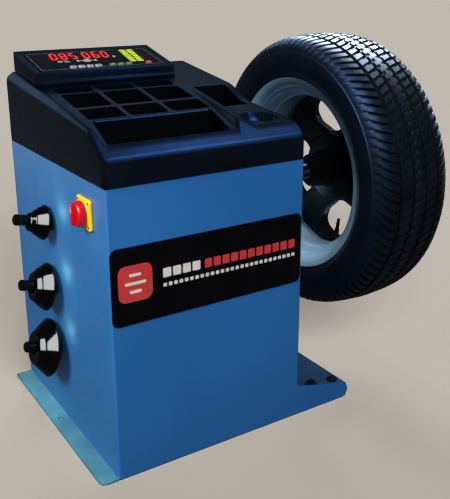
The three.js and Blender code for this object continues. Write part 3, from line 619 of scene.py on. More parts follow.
def tray_height(u, v):
    """Height of the tray's face above the floor. u and v run from the cabinet's front left corner."""
    rim = CAB_TOP + 79 + 0.15 * v
    deck = min(CAB_TOP + 64 + 0.2 * v, rim)
    low = deck_low(v)
    ridge = along(RIDGE, v)
    crest = rim + CREST * min(1, max(0, (420 - v) / 220))
    h = mix(crest, deck, smoothstep(6, 13 if v > 330 else 18, u))
    h = mix(h, rim, smoothstep(ridge - 12, ridge - 2, u))
    h = mix(h, mix(low, rim, smoothstep(184, 272, v)), smoothstep(ridge + 1, ridge + 34, u))
    sides = [mix(*TROUGH[end], (v - 28) / 107) for end in ("left", "right")]
    h -= TROUGH["depth"] * smoothstep(0, 6.5, in_round_rect(u, v, *sides, *TROUGH["v"], 8))
    for v0, v1, depth in ROWS:
        if v0 - 2 < v < v1 + 2:
            for u0, u1 in COLUMNS:
                h -= depth * smoothstep(0, 6, in_round_rect(u, v, u0, u1, v0, v1, 8))
    h = mix(h, low - COMPARTMENT_DEPTH, smoothstep(0, 7, in_round_rect(u, v, *COMPARTMENT, 8)))
    bowl_u, bowl_v, r, depth = BOWL
    rho = hypot(u - bowl_u, v - bowl_v) / r
    if rho < 1.15:
        cup = low - depth * sqrt(max(1 - rho * rho, 0)) if rho < 1 else low + (rho - 1) * 80
        h = soft_min(h, cup, 3)
    apron = CAB_TOP + 47 + 0.77 * (v + 3)
    h = soft_min(h, apron, 7)
    if u < 20:
        bevel = min(crest - 3, CAB_TOP + 88 + 0.092 * v) - 4
        h = soft_min(h, mix(bevel, crest, (u + 7) / 15), 3)
    back = CAB_TOP + 134 + 0.8 * (500 - v)
    return soft_min(h, back, 5)


def in_pocket(face):
    """Whether a face of the tray is a wall or floor of a pocket, the trough or the compartment."""
    x, y, z = face.center * 1000
    u, v = x - XL, y - YF
    pockets = 20 < u < along(RIDGE, v) - 13 and 26 < v < TRAY_HIGH.y - YF - 14
    compartment = 322 < u < TRAY_HIGH.x - XL - 14 and 166 < v < 264
    return (pockets or compartment) and (face.normal.z < 0.55 or z < deck_low(v) - 8)


def tray():
    """The moulding as one field of heights, closer at its edges, with a skirt."""
    u0, u1 = TRAY_LOW.x - XL, TRAY_HIGH.x - XL
    v0, v1 = TRAY_LOW.y - YF, TRAY_HIGH.y - YF
    edge = [0, 0.25, 0.8, 1.7, 2.9, 4.3, 5.9, 7.7, 9.4, CORNER]

    def lines(a, b, coarse_from):  # closest at the edges, then 2 mm apart, and 7 mm apart behind the pockets
        inner, at = [], a + CORNER
        while at < b - CORNER - 1.2:
            at += 2.0 if at < coarse_from else 7.0
            inner.append(min(at, b - CORNER - 0.6))
        return [a + e for e in edge] + inner + [b - e for e in reversed(edge)]

    us, vs = lines(u0, u1, u1), lines(v0, v1, 352)
    verts = []
    for v in vs:
        for u in us:
            du, dv = min(u - u0, u1 - u), min(v - v0, v1 - v)
            short = max(TOP_ROUND - min(du, dv), 0)
            z = tray_height(u, v) - (TOP_ROUND - sqrt(max(TOP_ROUND ** 2 - short ** 2, 0)))
            x, y = u, v
            if du < CORNER and dv < CORNER:
                a, b = 1 - du / CORNER, 1 - dv / CORNER
                x += copysign(CORNER, u - 200) * (a * sqrt(1 - b * b / 2) - a)
                y += copysign(CORNER, v - 200) * (b * sqrt(1 - a * a / 2) - b)
            verts.append((x + XL, y + YF, z))
    faces, rim = grid(len(vs), len(us))
    z0 = TRAY_LOW.z
    cx, cy, _ = centre_mm("weight_tray")
    above = rim
    for inset, z in ((0, z0 + 2.2), (0.5, z0 + 0.8), (1.8, z0), (4.0, z0)):
        fx, fy = 1 - inset / (TRAY_HIGH.x - cx), 1 - inset / (TRAY_HIGH.y - cy)
        ring = list(range(len(verts), len(verts) + len(rim)))
        verts += [(cx + (verts[i][0] - cx) * fx, cy + (verts[i][1] - cy) * fy, z) for i in rim]
        faces += band(above, ring)
        above = ring
    faces.append(above)
    mould = piece("tray_mould", (verts, faces), "abs", "weight_tray", smooth=50)
    # the pocket faces take the painted shade
    second_finish(mould, "abs_pocket_shade", in_pocket)


# ---- console ----

SLOPE = 0.25
UP = Vector((0, -SLOPE, 1)).normalized()
CON_LOW, CON_HIGH = box_mm("console_housing")
PANEL_LOW, PANEL_HIGH = box_mm("display_panel")
KEY_NAMES = sorted(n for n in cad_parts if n.startswith("key_"))
WINDOW, LIT, PRINTED = (-1.25, -1.0), (-1.1, -0.6), (-1.25, -0.95)  # from and to, above the panel


def panel_z(y):
    return CAB_TOP + 157 + SLOPE * (y - CON_LOW.y)


def on_panel(x, y, h):
    """A point above the tilted panel: x and y on the plan, h along the panel's own normal."""
    return tuple(Vector((x, y, panel_z(y))) + UP * h)


def panel_plate(outline, a, b):
    """An outline on the tilted panel, thickened from height a to b."""
    return between([on_panel(x, y, a) for x, y in outline], [on_panel(x, y, b) for x, y in outline])


def pierced_plate(outline, holes, a, b):
    """A sheet on the tilted panel between heights a and b, with holes through it."""
    bm = bmesh.new()
    edges = []
    for loop in (outline, *holes):
        ring = [bm.verts.new(on_panel(x, y, a)) for x, y in loop]
        edges += [bm.edges.new((v, ring[(k + 1) % len(ring)])) for k, v in enumerate(ring)]
    bmesh.ops.triangle_fill(bm, edges=edges, use_beauty=True, normal=UP)
    grown = bmesh.ops.extrude_face_region(bm, geom=bm.faces[:])
    raised = [v for v in grown["geom"] if isinstance(v, bmesh.types.BMVert)]
    bmesh.ops.translate(bm, verts=raised, vec=UP * (b - a))
    bmesh.ops.recalc_face_normals(bm, faces=bm.faces[:])
    return from_bmesh(bm)


def console():
    """Housing: a side profile with a stepped front, and a shallow seat for the display."""
    y0, y1 = CON_LOW.y, CON_HIGH.y
    foot_z = CAB_TOP + 64 + 0.2 * (y0 - YF) - 1.5
    back_z = CAB_TOP + 79 + 0.15 * (y1 - YF) - 1
    side = [(y0 + 0.5, foot_z), (y0, foot_z + 7), (y0 + 5, foot_z + 10), (y0 + 5, foot_z + 16.5),
            (y0 + 7, panel_z(y0 + 7)), (y1, panel_z(y1)), (y1, back_z)]
    bm = to_bmesh(*prism(side, CON_LOW.x, CON_HIGH.x, "yz"))
    top = max(bm.faces, key=lambda f: f.normal.z * f.calc_area())
    bmesh.ops.inset_region(bm, faces=[top], thickness=7.5, depth=0)
    bmesh.ops.inset_region(bm, faces=[top], thickness=3.5, depth=-2.6)
    shell = bevelled(from_bmesh(bm), 1.8, 4, 20)
    piece("console_shell", shell, "console", "console_housing", smooth=45)
    boxes = [box_mm(name) for name in KEY_NAMES]
    slots = [round_rect(low.x - 0.4, high.x + 0.4, low.y, high.y, 3, 4) for low, high in boxes]
    outline = round_rect(PANEL_LOW.x + 1, PANEL_HIGH.x - 1, PANEL_LOW.y + 1, PANEL_HIGH.y - 1, 7)
    film = pierced_plate(outline, slots, -3.4, -1.2)
    piece("display_film_sheet", film, "gloss", "display_panel")


SEGMENTS = {"0": "abcdef", "5": "afgcd", "6": "afgedc", "8": "abcdefg"}  # the digits shown


def digit(char, x, y, w, h, t):
    """The lit segments of one digit: outlines on the panel, leaning to the right."""
    lean, mid = 0.12, h / 2
    bars = {
        "a": (0, h, w, h), "g": (0, mid, w, mid), "d": (0, 0, w, 0),
        "f": (0, mid, 0, h), "b": (w, mid, w, h), "e": (0, 0, 0, mid), "c": (w, 0, w, mid),
    }
    out = []
    for s in SEGMENTS[char]:
        ax, ay, bx, by = bars[s]
        d = Vector((bx - ax, by - ay)).normalized()
        side, point = Vector((-d.y, d.x)) * t / 2, d * t / 2
        a, b = Vector((ax, ay)) + d * 0.7, Vector((bx, by)) - d * 0.7
        shape = [a, a + point - side, b - point - side, b, b - point + side, a + point + side]
        out.append([(x + p.x + lean * p.y, y + p.y) for p in shape])
    return out


def displays():
    """Two windows with three digits each, and a window with two columns of level bars."""
    def window(name, node, margin):
        low, high = box_mm(node)
        outline = round_rect(low.x - margin, high.x + margin, low.y - margin, high.y + margin, 2.5)
        detail(name, panel_plate(outline, *WINDOW), "window", node)
        return low, high

    for node, text in (("digits_left", "085"), ("digits_right", "060")):
        low, high = window(node + "_window", node, 0)
        pitch = (high.x - low.x) / 3
        bars = []
        for i, char in enumerate(text):
            bars += digit(char, low.x + 4.5 + pitch * i, low.y + 3.6, pitch - 10.5, high.y - low.y - 7.2, 4.2)
        segments = joined(*(panel_plate(b, *LIT) for b in bars))
        piece(node + "_segments", segments, "led_red", node)
    low, high = window("position_window", "position_bars", 2)
    count, bars = 8, []
    step = (high.y - low.y) / count
    for i in range(count):
        y0 = low.y + step * (i + 0.18)
        y1 = y0 + step * 0.62
        lean = 0.063 * (high.y - y0)
        for x in (low.x + 4 - lean, low.x + 22 - lean):
            bars.append([(x, y0), (x + 14, y0), (x + 16, y1), (x + 2, y1)])
    leds = joined(*(panel_plate(b, *LIT) for b in bars))
    piece("position_leds", leds, "led_green", "position_bars")


def graphics():
    """Plain printed graphics: rings, strokes, arrowheads and a frame. No lettering."""
    low, right = box_mm("digits_left")[0], box_mm("digits_right")[1].x
    shapes = []

    def rect(x0, x1, y0, y1):
        return [(x0, y0), (x1, y0), (x1, y1), (x0, y1)]

    def ring(cx, cy, r, w):
        for quad in band(circle(cx, cy, r, 24), circle(cx, cy, r - w, 24)):
            shapes.append([(x, cy + (y - cy) * 0.9) for x, y in quad])

    def stroke(x0, x1, y, w):
        shapes.append(rect(x0, x1, y - w / 2, y + w / 2))

    cx, cy = (low.x + right) / 2 + 6, low.y - 10
    ring(cx, cy, 9, 1.6)
    ring(cx, cy, 4, 1.2)
    for side in (-1, 1):
        stroke(*sorted((cx + side * 11, cx + side * 16)), cy, 1.4)
        shapes.append([(cx + side * 22, cy - 4), (cx + side * 22, cy + 4), (cx + side * 16, cy)][::side])
    ring(low.x + 16, low.y - 9, 5, 1.3)
    stroke(low.x + 25, low.x + 37, low.y - 12, 1.6)
    stroke(low.x + 25, low.x + 33, low.y - 6, 1.6)
    shapes.append(rect(right + 4, right + 9, low.y + 2, low.y + 8))
    printed = joined(*(panel_plate(s, *PRINTED) for s in shapes))
    detail("panel_graphics", printed, "print", "display_panel")
    x0, x1, y0, y1 = PANEL_LOW.x + 6, PANEL_HIGH.x - 6, PANEL_LOW.y + 7, PANEL_HIGH.y - 7
    lines = [rect(x0, x1, y0, y0 + 0.7), rect(x0, x1, y1 - 0.7, y1), rect(x0, x0 + 0.7, y0, y1),
             rect(x1 - 0.7, x1, y0, y1)]
    border = joined(*(panel_plate(s, -1.25, -1.05) for s in lines))
    detail("panel_frame_line", border, "label_grey", "display_panel")


def keys():
    """Each key: a cap with a dash or an arrowhead on it."""
    for name in KEY_NAMES:
        low, high = box_mm(name)
        cap = panel_plate(round_rect(low.x, high.x, low.y + 0.4, high.y - 0.4, 2.6, 4), -3.2, 1.2)
        piece(name + "_cap", bevelled(cap, 0.9, 3), name.rstrip("_1234"), name, body=name + "_body")
        cx, cy, _ = centre_mm(name)
        mark = [(cx - 2.6, cy - 0.8), (cx + 2.6, cy - 0.8), (cx + 2.6, cy + 0.8), (cx - 2.6, cy + 0.8)]
        if name[-1] in "24":
            mark = [(cx - 2.4, cy - 1.6), (cx + 2.4, cy - 1.6), (cx, cy + 2)]
        ink = "label" if "white" in name else "print"
        detail(name + "_mark", panel_plate(mark, 1.15, 1.4), ink, name, body=name + "_body")


# ---- switch, pegs and cones ----


def main_switch():
    """A square plate with a round rise, and a ribbed dial with a grip across it. The dial faces -X."""
    _, cy, cz = centre_mm("switch_base")
    inside = box_mm("switch_base")[1].x
    x = XL - 0.3

    def bars(x0, x1, half):
        return block(x0, x1, cy - half, cy + half, cz - half, cz + half)

    plate = bevelled(prism(round_rect(cy - 29, cy + 29, cz - 29, cz + 29, 5), x - 6.2, x, "yz"), 1.6, 3)
    rise = lathe(rounded([(x - 8, 0), (x - 8, 25.2), (x - 5, 26.5), (x - 5, 0)], 0.8, 2), 64, cy, cz)
    shell = bevelled(bars(XL + 3, inside, 20), 1.5, 2)
    base = joined(plate, rise, bars(x - 3, inside, 5.2), shell)
    piece("switch_plate", base, "yellow", "switch_base")
    head = lathe([(0, 0), (0, 2.4), (-0.8, 2.2), (-1.1, 1.5), (-1.1, 0)], 20, 0, 0)
    screws = [moved(head, shift(x - 6.1, cy + 22.5 * sy, cz + 22.5 * sz)) for sy in (-1, 1) for sz in (-1, 1)]
    detail("switch_screws", joined(*screws), "bolt", "switch_base")

    knob = lathe(rounded([(x - 8.4, 0), (x - 8.4, 23.2), (x - 10, 24), (x - 20, 23.6), (x - 23.6, 21),
                          (x - 23.2, 15), (x - 22.4, 0)], 1.6, 3), 96, cy, cz)
    rib = bevelled(block(x - 19, x - 10.5, -0.9, 0.9, 23.0, 24.3), 0.4, 1)
    ribs = [moved(rib, shift(0, cy, cz) @ turn(12 * k, "X")) for k in range(30)]
    grip_line = rounded([(cy - 4.2, cz - 19.5), (cy + 4.2, cz - 19.5), (cy + 5.6, cz), (cy + 4.2, cz + 19.5),
                         (cy - 4.2, cz + 19.5), (cy - 5.6, cz)], 3, 3)
    grip = bevelled(prism(grip_line, x - 29.8, x - 20, "yz"), 1.4, 3)
    piece("switch_dial", joined(knob, *ribs, grip), "red", "switch_knob", body="knob")
    pointer = block(x - 30, x - 29.7, cy - 0.9, cy + 0.9, cz + 4, cz + 15)
    detail("switch_pointer", pointer, "label_white", "switch_knob", body="knob")


PEG_TILT = 12
PEG_Y, PEG_R, PEG_L, BORE = 32, 11, 77, 14.3
CONES = [  # along the peg: back, widest, shoulder, nose, with radii
    dict(z=444, back=10, wide=15, r=36, step=36, step_r=24, nose=48, nose_r=18.5),
    dict(z=304, back=14, wide=20, r=50, step=40, step_r=37, nose=50, nose_r=30),
    dict(z=165, back=18, wide=26, r=62, step=46, step_r=45, nose=57, nose_r=36),
]


def pegs_and_cones():
    """Each peg has a collar behind its cone, a foot on the panel and a nut inside it."""
    for i, c in enumerate(CONES, 1):
        level = shift(XL, PEG_Y, c["z"])
        tipped = level @ turn(PEG_TILT, "Y")
        body = rounded([(-PEG_L, 0), (-PEG_L, PEG_R - 2.5), (-PEG_L + 3, PEG_R), (-PEG_L + 14, PEG_R),
                        (-PEG_L + 15.5, PEG_R - 1.2), (-PEG_L + 17, PEG_R), (-3.5, PEG_R), (-3.5, 0)], 0.9, 3)
        collar = rounded([(-4.4, 0), (-4.4, 16), (0.3 - c["back"], 16), (0.3 - c["back"], 0)], 1.2, 3)
        foot = rounded([(-6, 0), (-6, 15), (-4, 18), (-0.3, 18), (-0.3, 0)], 1.0, 3)
        inside = [(-1, 0), (-1, 5), (2.3, 5), (2.3, 9), (9, 9), (9, 5), (14, 5), (14, 0)]
        peg = joined(
            moved(lathe(body, 48, 0, 0), tipped), moved(lathe(collar, 48, 0, 0), tipped),
            moved(lathe(foot, 64, 0, 0), level), moved(lathe(inside, 24, 0, 0), level))
        piece(f"peg_{i}", peg, "peg", f"cone_peg_{i}")
        back, wide, step, nose = -c["back"], -c["wide"], -c["step"], -c["nose"]
        outline = rounded([
            (back, BORE), (back, c["r"] - 7), (wide + 1.5, c["r"]), (wide - 2, c["r"]), (step, c["step_r"]),
            (step - 1, c["step_r"] - 2.5), (nose + 1.5, c["nose_r"]), (nose, c["nose_r"] - 1.5), (nose, BORE),
        ], 1.1, 3)
        drop = BORE - PEG_R - 0.25  # the cone hangs on the top of its peg
        cone = moved(lathe(outline, 128, 0, -drop), tipped)
        piece(f"centring_cone_{i}", cone, "cone", f"cone_{i}", body=f"cone_{i}_body")


# ---- spindle and nut ----


def spindle():
    tube = rounded([(-18, 32), (-18, 50), (332, 50), (332, 32), (310, 32), (310, 40.3), (18, 40.3), (18, 32)],
                   1.5, 3)
    collar = rounded([(218, 49), (218, 60), (224, 62), (238, 62), (242, 57), (318, 54), (330, 49)], 2, 3)
    saddle = bevelled(block(20, 190, AXIS.y - 45, AXIS.y + 45, AXIS.z - 62, AXIS.z - 48), 2, 2)
    piece("housing_tube", joined(lathe(tube), lathe(collar), saddle), "cast", "spindle_housing")
    low, high = box_mm("spindle_shaft")
    profile = [(low.x, 0), (low.x, 14), (-30, 14), (-30, 20), (430, 20), (430, 14)]
    x = 486.0
    while x < high.x - 8:  # the thread, as grooves 3 mm apart
        profile += [(x, 14), (x + 0.9, 12.8), (x + 1.8, 12.8), (x + 2.7, 14)]
        x += 3.0
    profile += [(high.x - 4, 14), (high.x, 11), (high.x, 0)]
    piece("threaded_shaft", lathe(profile, 64), "steel", "spindle_shaft", body="spindle")
    seat = SEAT_X - 0.3
    plate = rounded([(398, 20.3), (398, 36), (401, 38), (446, 42), (452, 46), (456, 76), (460, 82),
                     (SEAT_X - 2, 82), (seat, 80.5), (seat, 36), (430.3, 36), (430.3, 20.3)], 1.5, 3)
    piece("mounting_plate", lathe(plate), "dark_steel", "backplate", body="spindle")


def quick_nut():
    x = SEAT_X
    cone = rounded([(x + 12, 14.3), (x + 12, 24), (x + 26, 28.6), (x + 30, 44), (x + 34, 46), (x + 44, 46),
                    (x + 44, 14.3)], 1.2, 3)
    piece("centre_cone", lathe(cone), "cone", "clamp_cone", body="nut")
    x = box_mm("quick_nut")[0].x
    cup = rounded([(x, 14.3), (x, 52), (x + 6, 58), (x + 26, 58), (x + 29, 54), (x + 32, 44), (x + 48, 42),
                   (x + 60, 40), (x + 64, 36), (x + 64, 22), (x + 60, 20), (x + 60, 14.3)], 2.2, 4)
    outline = rounded([(-9, 44), (9, 44), (7.5, 70), (9.5, 84), (5, 88), (-5, 88), (-9.5, 84), (-7.5, 70)],
                      5, 4)
    grip = bevelled(prism(outline, x + 10, x + 26, "yz"), 2.4, 3)
    centre = Matrix.Translation(AXIS)
    grips = [moved(grip, centre @ Matrix.Rotation(k * pi / 2 + 0.5, 4, "X")) for k in range(4)]
    piece("nut_body", joined(lathe(cup), *grips), "nut", "quick_nut", body="nut")


# ---- wheel ----


def rim_barrel():
    h, r = (RIM_X[1] - RIM_X[0]) / 2, 222
    outside = [(-h, r - 3), (-h + 1, r), (-h + 5, r), (-h + 8, r - 5), (-h + 10, 203.6), (-h + 32, 202.4),
               (-h + 42, 184), (-4, 184), (18, 201), (h - 10, 203.6), (h - 8, r - 5), (h - 5, r), (h - 1, r),
               (h, r - 3)]
    inside = [(h - 3, 208), (h - 14, 197), (24, 194), (2, 177), (-h + 44, 177), (-h + 30, 195),
              (-h + 14, 197), (-h + 3, 208)]
    profile = [(WHEEL_X + x, y) for x, y in rounded(outside + inside, 5, 4)]
    piece("barrel_shell", lathe(profile, 160), "alloy", "rim_barrel", body="spindle")


WINDOWS, WINDOW_START = 4, 10.5
DISC_INNER, DISC_OUTER = 29.0, 198.0
# the disc's two faces, as (radius, distance beyond the seat)
DISC_FRONT = [(29, 22), (46, 25), (60, 26), (110, 28), (150, 27), (198, 31)]
DISC_BACK = [(29, 0), (78, 0), (84, 1.5), (110, 3), (150, 0), (179, -7), (198, -9)]
BLENDS = [0, 0.03, 0.08, 0.16, 0.3, 0.5, 0.75, 1.0]  # from the window's edge to the sector's


def disc_sector(count):
    """Round a window: the radius and angle of its edge, then those of its sector's outline."""
    def power(v, e):
        return copysign(abs(v) ** e, v)

    out = []
    for k in range(count):
        t = 2 * pi * (k + 0.5) / count
        c, s = cos(t), sin(t)
        r = 132.5 + 48.5 * power(c, 0.6)
        width = mix(18.0, 28.5, smoothstep(84, 130, r)) - 6 * smoothstep(160, 184, r)
        m = max(abs(c), abs(s))
        outline_r = mix(DISC_INNER, DISC_OUTER, (c / m + 1) / 2)
        out.append((r, width * power(s, 0.6), outline_r, 180 / WINDOWS * s / m))
    return out


def rim_disc():
    """Four-spoke disc: each sector is rings of faces between its window and its own outline."""
    count = 64
    sector = disc_sector(count)
    layer = len(BLENDS) * count
    verts, faces = [], []
    for w in range(WINDOWS):
        start = len(verts)
        for table, side in ((DISC_FRONT, 1), (DISC_BACK, -1)):
            for blend in BLENDS:
                for edge_r, edge_a, outline_r, outline_a in sector:
                    r, a = mix(edge_r, outline_r, blend), mix(edge_a, outline_a, blend)
                    fillet = 5.0 * (1 - smoothstep(0, 0.16, blend))
                    x = SEAT_X + along(table, r) - side * fillet
                    if side > 0:
                        crown = 3.0 * smoothstep(0.0, 0.6, blend)
                        x += crown * smoothstep(80, 110, r) * (1 - smoothstep(160, 190, r))
                    t = radians(WINDOW_START + w * 360 / WINDOWS + a)
                    verts.append((x, AXIS.y - r * cos(t), AXIS.z + r * sin(t)))
        front = [range(row, row + count) for row in range(start, start + layer, count)]
        back = [range(row, row + count) for row in range(start + layer, start + 2 * layer, count)]
        for rings in (front, back):
            for a, b in zip(rings, rings[1:]):
                faces += band(a, b)
        faces += band(front[0], back[0])
        for k, face in enumerate(band(front[-1], back[-1])):  # only the bore and the outer rim are closed
            here, after = sector[k][2], sector[(k + 1) % count][2]
            if abs(here - after) < 1e-6 and min(abs(here - DISC_INNER), abs(here - DISC_OUTER)) < 1e-6:
                faces.append(face)
    disc = piece("disc_spokes", (verts, faces), "alloy_back_shade", "rim_disc", body="spindle", smooth=40)
    # only the disc's outboard faces take the alloy; the rest keeps the painted shade
    second_finish(disc, "alloy", lambda f: f.center.x > (SEAT_X + 14) * MM and f.normal.x > -0.2)


PITCHES = 96
CROWN_R = 315.0
GROOVES = [-52, -18, 18, 52]
SLOT = [(0.0, 0), (0.27, 0), (0.54, 0), (0.61, 1), (0.93, 1)]  # place in a pitch, share of the slot's depth
SHOULDER = [(0, 0), (52, 3), (66, 5.6), (78, 9.5), (88, 16.5), (92.5, 21.5), (96, 27)]  # (across, drop)
EDGE = [57, 58, 61, 66, 72, 78, 83, 88, 92.5, 96]
BLOCKS = [3, 6, 8, 13, 23, 25, 30, 35, 40, 45, 47]
# half a section, as (across, radius): the wall from the shoulder to the bead, then the inside
WALL = [(98.5, 281), (99.4, 277.5), (100.6, 276.5), (101.6, 268), (102, 258), (102, 248), (101, 239),
        (99, 232.5), (97.6, 231), (96.5, 227.5), (93, 224.6), (88.6, 223.0), (86.2, 220), (85.1, 214),
        (83.3, 206), (82, 204.2), (70, 204.2)]
LINER = [(74, 210), (88, 232), (92, 250), (84, 284), (66, 299), (0, 302)]


def slot_depth(s):
    """Depth of the slots across the tread, at s from its middle."""
    a = abs(s)
    if a > 56.5:
        return mix(6.5, 2.2, smoothstep(78, 96, a)) * smoothstep(56.5, 58, a) * (1 - smoothstep(95, 99, a))
    if 22 < a < 47.5:
        return 4.2 * smoothstep(22, 24, a) * (1 - smoothstep(45.5, 47.5, a))
    if a < 14:
        return 3.2 * smoothstep(4, 7, a)
    return 0.0


def slot_shift(s):
    """How far a slot has drifted round the tyre at s, in mm."""
    if s < -52:
        return 0.013 * (s + 52) ** 2
    if s > 52:
        return 46.8 + 0.013 * (s - 52) ** 2
    return 0.45 * (s + 52)


def tyre():
    """Tread, walls and liner as one closed section carried round the wheel, with grooves and slots cut in."""
    across = [g + d for g in GROOVES for d in (-5, -4.2, -3.4, 3.4, 4.2, 5)]
    across = sorted({round(v, 2) for v in [*across, *EDGE, *BLOCKS, *(-v for v in EDGE + BLOCKS)]})
    half = [(x, r, False) for x, r in WALL + LINER]
    rows = [(s, CROWN_R - along(SHOULDER, abs(s)), True) for s in across]
    rows += half + [(-x, r, False) for x, r, _ in reversed(half[:-1])]
    count = PITCHES * len(SLOT)
    verts, faces = [], []
    for s, r, tread in rows:
        drift = slot_shift(s if tread else max(-96, min(96, s))) / CROWN_R
        if not tread and r < 300:
            drift *= smoothstep(225, 281, r)
        groove = 8.0 * (1 - smoothstep(3.4, 4.8, min(abs(s - g) for g in GROOVES)))
        for k in range(count):
            place, share = SLOT[k % len(SLOT)]
            a = 2 * pi * (k // len(SLOT) + place) / PITCHES + drift
            rr = r - (max(groove, share * slot_depth(s)) if tread else 0.0)
            verts.append((WHEEL_X + s, AXIS.y - rr * cos(a), AXIS.z + rr * sin(a)))
    rings = [range(k, k + count) for k in range(0, len(verts), count)]
    for a, b in zip(rings, [*rings[1:], rings[0]]):
        faces += band(a, b)
    carcass = piece("tyre_carcass", (verts, faces), "tread", "tyre", body="spindle", smooth=38)
    middle = Vector(centre_mm("tyre"))

    def in_groove(face):
        place = face.center * 1000 - middle
        outward = Vector((0, place.y, place.z)).normalized()
        return abs(place.x) < 66 and face.normal.dot(outward) < 0.8

    second_finish(carcass, "groove", in_groove)


VALVE_ANGLE = -100


def valve():
    stem = rounded([(150, 0), (150, 3.2), (160, 3.2), (161, 4.0), (168, 4.0), (171, 3.2), (176, 4.6),
                    (186, 5.4), (203, 5.4), (203, 0)], 0.6, 2)
    place = shift(centre_mm("valve_stem")[0], AXIS.y, AXIS.z) @ turn(-VALVE_ANGLE, "X") @ turn(-90, "Z")
    piece("valve", moved(lathe(stem, 24, 0, 0), place), "rubber", "valve_stem", body="spindle")


# ---- stage ----

BACKDROP = (0.525, 0.485, 0.43)  # what the camera sees behind the machine
AMBIENT = (0.06, 0.066, 0.078)  # the dimmer room that lights it


def room():
    """One pale tone for the camera, and a dim room for everything else."""
    world = bpy.data.worlds.new("studio")
    world.use_nodes = True
    nodes, link = world.node_tree.nodes, world.node_tree.links.new
    dim = nodes["Background"]
    dim.inputs["Color"].default_value = (*AMBIENT, 1)
    pale = nodes.new("ShaderNodeBackground")
    pale.inputs["Color"].default_value = (*BACKDROP, 1)
    path = nodes.new("ShaderNodeLightPath")
    both = nodes.new("ShaderNodeMixShader")
    link(path.outputs["Is Camera Ray"], both.inputs["Fac"])
    link(dim.outputs["Background"], both.inputs[1])
    link(pale.outputs["Background"], both.inputs[2])
    link(both.outputs["Shader"], nodes["World Output"].inputs["Surface"])
    bpy.context.scene.world = world


def lay_floor():
    """A wide round floor that shows shadows only, and isn't seen in reflections."""
    mesh = bpy.data.meshes.new("floor")
    mesh.from_pydata([(x, y, -0.0005) for x, y in circle(0, 0, 30.0, 64)], [], [list(range(64))])
    mesh.materials.append(surface("studio_floor", (0.24, 0.225, 0.2), 0.85, 0.02, 1.5, (60, 0.02, 0.0002),
                                  specular=0.15))
    floor = bpy.data.objects.new("floor", mesh)
    add_to_scene(floor)
    floor.is_shadow_catcher = True
    floor.visible_glossy = False


def called(*starts):
    """The meshes whose names start with one of these."""
    return [o for o in bpy.context.scene.objects if o.type == "MESH" and o.name.startswith(starts)]


def softbox(name, place, target, size, power, colour, only=(), without=()):
    """A rectangular light that the camera doesn't see. It can light a few objects only, or leave out a kind
    of light: "glossy" or "diffuse"."""
    light = bpy.data.lights.new(name, "AREA")
    light.shape = "RECTANGLE"
    light.size, light.size_y = size
    light.energy = power
    light.color = colour
    obj = bpy.data.objects.new(name, light)
    obj.visible_camera = False
    obj.visible_glossy, obj.visible_diffuse = "glossy" not in without, "diffuse" not in without
    if only:
        group = bpy.data.collections.new(name + "_receivers")
        for receiver in only:
            group.objects.link(receiver)
        obj.light_linking.receiver_collection = group
    obj.location = place
    obj.rotation_euler = (Vector(target) - Vector(place)).to_track_quat("-Z", "Y").to_euler()
    add_to_scene(obj)


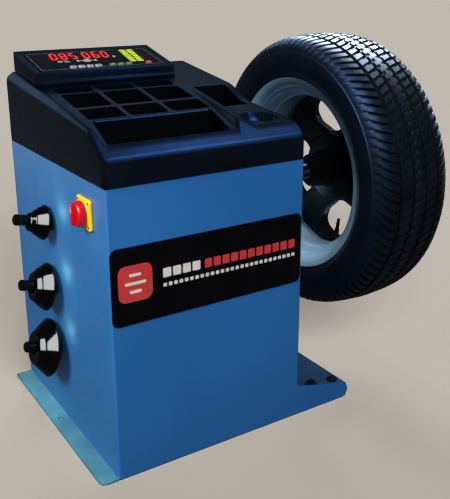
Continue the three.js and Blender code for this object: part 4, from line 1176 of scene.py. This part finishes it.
def lights():
    """Daylight from the left and front, and cooler boxes for the black mouldings, the tyre and the rim."""
    mouldings, cones = called("tray_mould", "console_shell"), called("centring_cone")
    barrel, tread, skin = called("barrel_shell"), called("tyre_carcass"), called("cabinet_skin")
    dark = mouldings + cones + barrel + tread + called(
        "display_film", "label_sheet", "peg_", "disc_spokes", "mounting_plate", "housing_tube", "centre_cone",
        "nut_body", "floor")
    lit = [o for o in called("") if o not in dark]
    front_lit = [o for o in called("") if o not in barrel]
    # name, place, target, size, power, colour, what it lights, the kind of light it leaves out
    for row in (
        ("left_box", (-2.3, -0.5, 2.1), (-0.2, 0.0, 0.35), (1.2, 1.2), 146, (1.0, 0.81, 0.64), lit),
        ("front_box", (-0.9, -2.9, 2.1), (0.0, 0.0, 0.45), (2.0, 1.5), 88,
         (1.0, 0.99, 0.97), front_lit, "glossy"),
        ("sky_box", (1.9, 1.2, 2.2), (0.3, 0.0, 0.7), (1.2, 0.9), 9, (0.55, 0.75, 1.0), lit),
        ("right_box", (2.4, -0.6, 1.5), (0.3, 0.0, 0.4), (1.2, 1.2), 5, (1.0, 0.99, 0.97), lit),
        ("cone_window", (-1.6, -1.1, 1.7), (-0.3, 0.0, 0.35), (1.9, 2.7), 560,
         (0.95, 0.97, 1.0), cones, "diffuse"),
        ("tyre_tread_box", (1.6, 1.1, 2.1), (0.44, 0.0, 0.75), (1.5, 1.4), 190,
         (0.68, 0.84, 1.0), tread, "diffuse"),
        ("tyre_shoulder_box", (-1.0, -0.9, 2.1), (0.35, -0.1, 0.75), (1.7, 1.7), 95,
         (0.55, 0.76, 1.0), tread, "diffuse"),
        ("haze_box", (-2.1, 2.8, 0.45), (-0.2, 0.0, 0.3), (2.4, 0.9), 8, (1.0, 0.78, 0.5), skin, "diffuse"),
        ("back_box", (1.2, 2.7, 1.9), (0.0, 0.0, 0.45), (1.8, 1.3), 34, (1.0, 0.98, 0.95), (), "glossy"),
        ("rim_box", (-0.1, -1.5, 2.4), (0.36, 0.0, 0.5), (0.8, 0.8), 200, (0.8, 0.92, 1.0), barrel),
        ("rim_fill", (-0.9, -2.9, 2.1), (0.3, 0.0, 0.5), (1.5, 1.2), 26, (0.5, 0.8, 1.0), barrel),
        ("tray_front_box", (1.3, -2.0, 2.1), (0.0, -0.35, 0.66), (1.5, 1.0), 9,
         (0.13, 0.42, 1.0), mouldings, "diffuse"),
        ("tray_top_box", (0.95, -0.75, 2.4), (-0.05, -0.3, 0.66), (1.0, 0.8), 26,
         (0.16, 0.41, 0.95), mouldings, "diffuse"),
        ("tray_left_box", (-0.9, 2.1, 1.4), (-0.2, 0.1, 0.7), (1.2, 0.9), 2.4,
         (0.3, 0.66, 1.0), mouldings, "diffuse"),
        ("tray_rear_box", (0.9, 1.7, 2.1), (0.0, 0.0, 0.7), (1.6, 1.0), 1.5,
         (0.26, 0.52, 1.0), mouldings, "diffuse"),
    ):
        softbox(*row)
    for c in CONES:  # light that each cone throws back on the panel beside it
        beside = (XL * MM - 0.025, (PEG_Y - 72) * MM, (c["z"] + 1.05 * c["r"]) * MM)
        softbox("thrown_back", beside, (0.0, *beside[1:]), (0.03, 0.016), 0.052, (1.0, 0.4, 0.17), skin,
                "glossy")


def camera():
    """The photograph's viewpoint: in front, to the left and above, looking 17 degrees down."""
    ahead = Vector((0.5159, 0.8057, -0.2909)).normalized()
    up = Vector((0.8417, -0.5399, -0.0027)).normalized().cross(ahead).normalized()
    data = bpy.data.cameras.new("camera")
    data.sensor_width, data.sensor_height = 36, 36
    data.lens = 54.3
    data.shift_y = -0.0805
    data.clip_start, data.clip_end = 0.05, 200
    obj = bpy.data.objects.new("camera", data)
    facing = Matrix((ahead.cross(up).normalized(), up, -ahead)).transposed().to_4x4()
    obj.matrix_world = Matrix.Translation((-0.701, -1.3891, 0.9121)) @ facing
    add_to_scene(obj)
    bpy.context.scene.camera = obj
    view = bpy.context.scene.view_settings
    view.view_transform = "Standard"
    view.look = "None"


camera()
carried_over()
cabinet_skin()
rear_cover()
label()
foot_bolts()
tray()
console()
displays()
graphics()
keys()
main_switch()
pegs_and_cones()
spindle()
quick_nut()
rim_barrel()
rim_disc()
tyre()
valve()
room()
lay_floor()
lights()
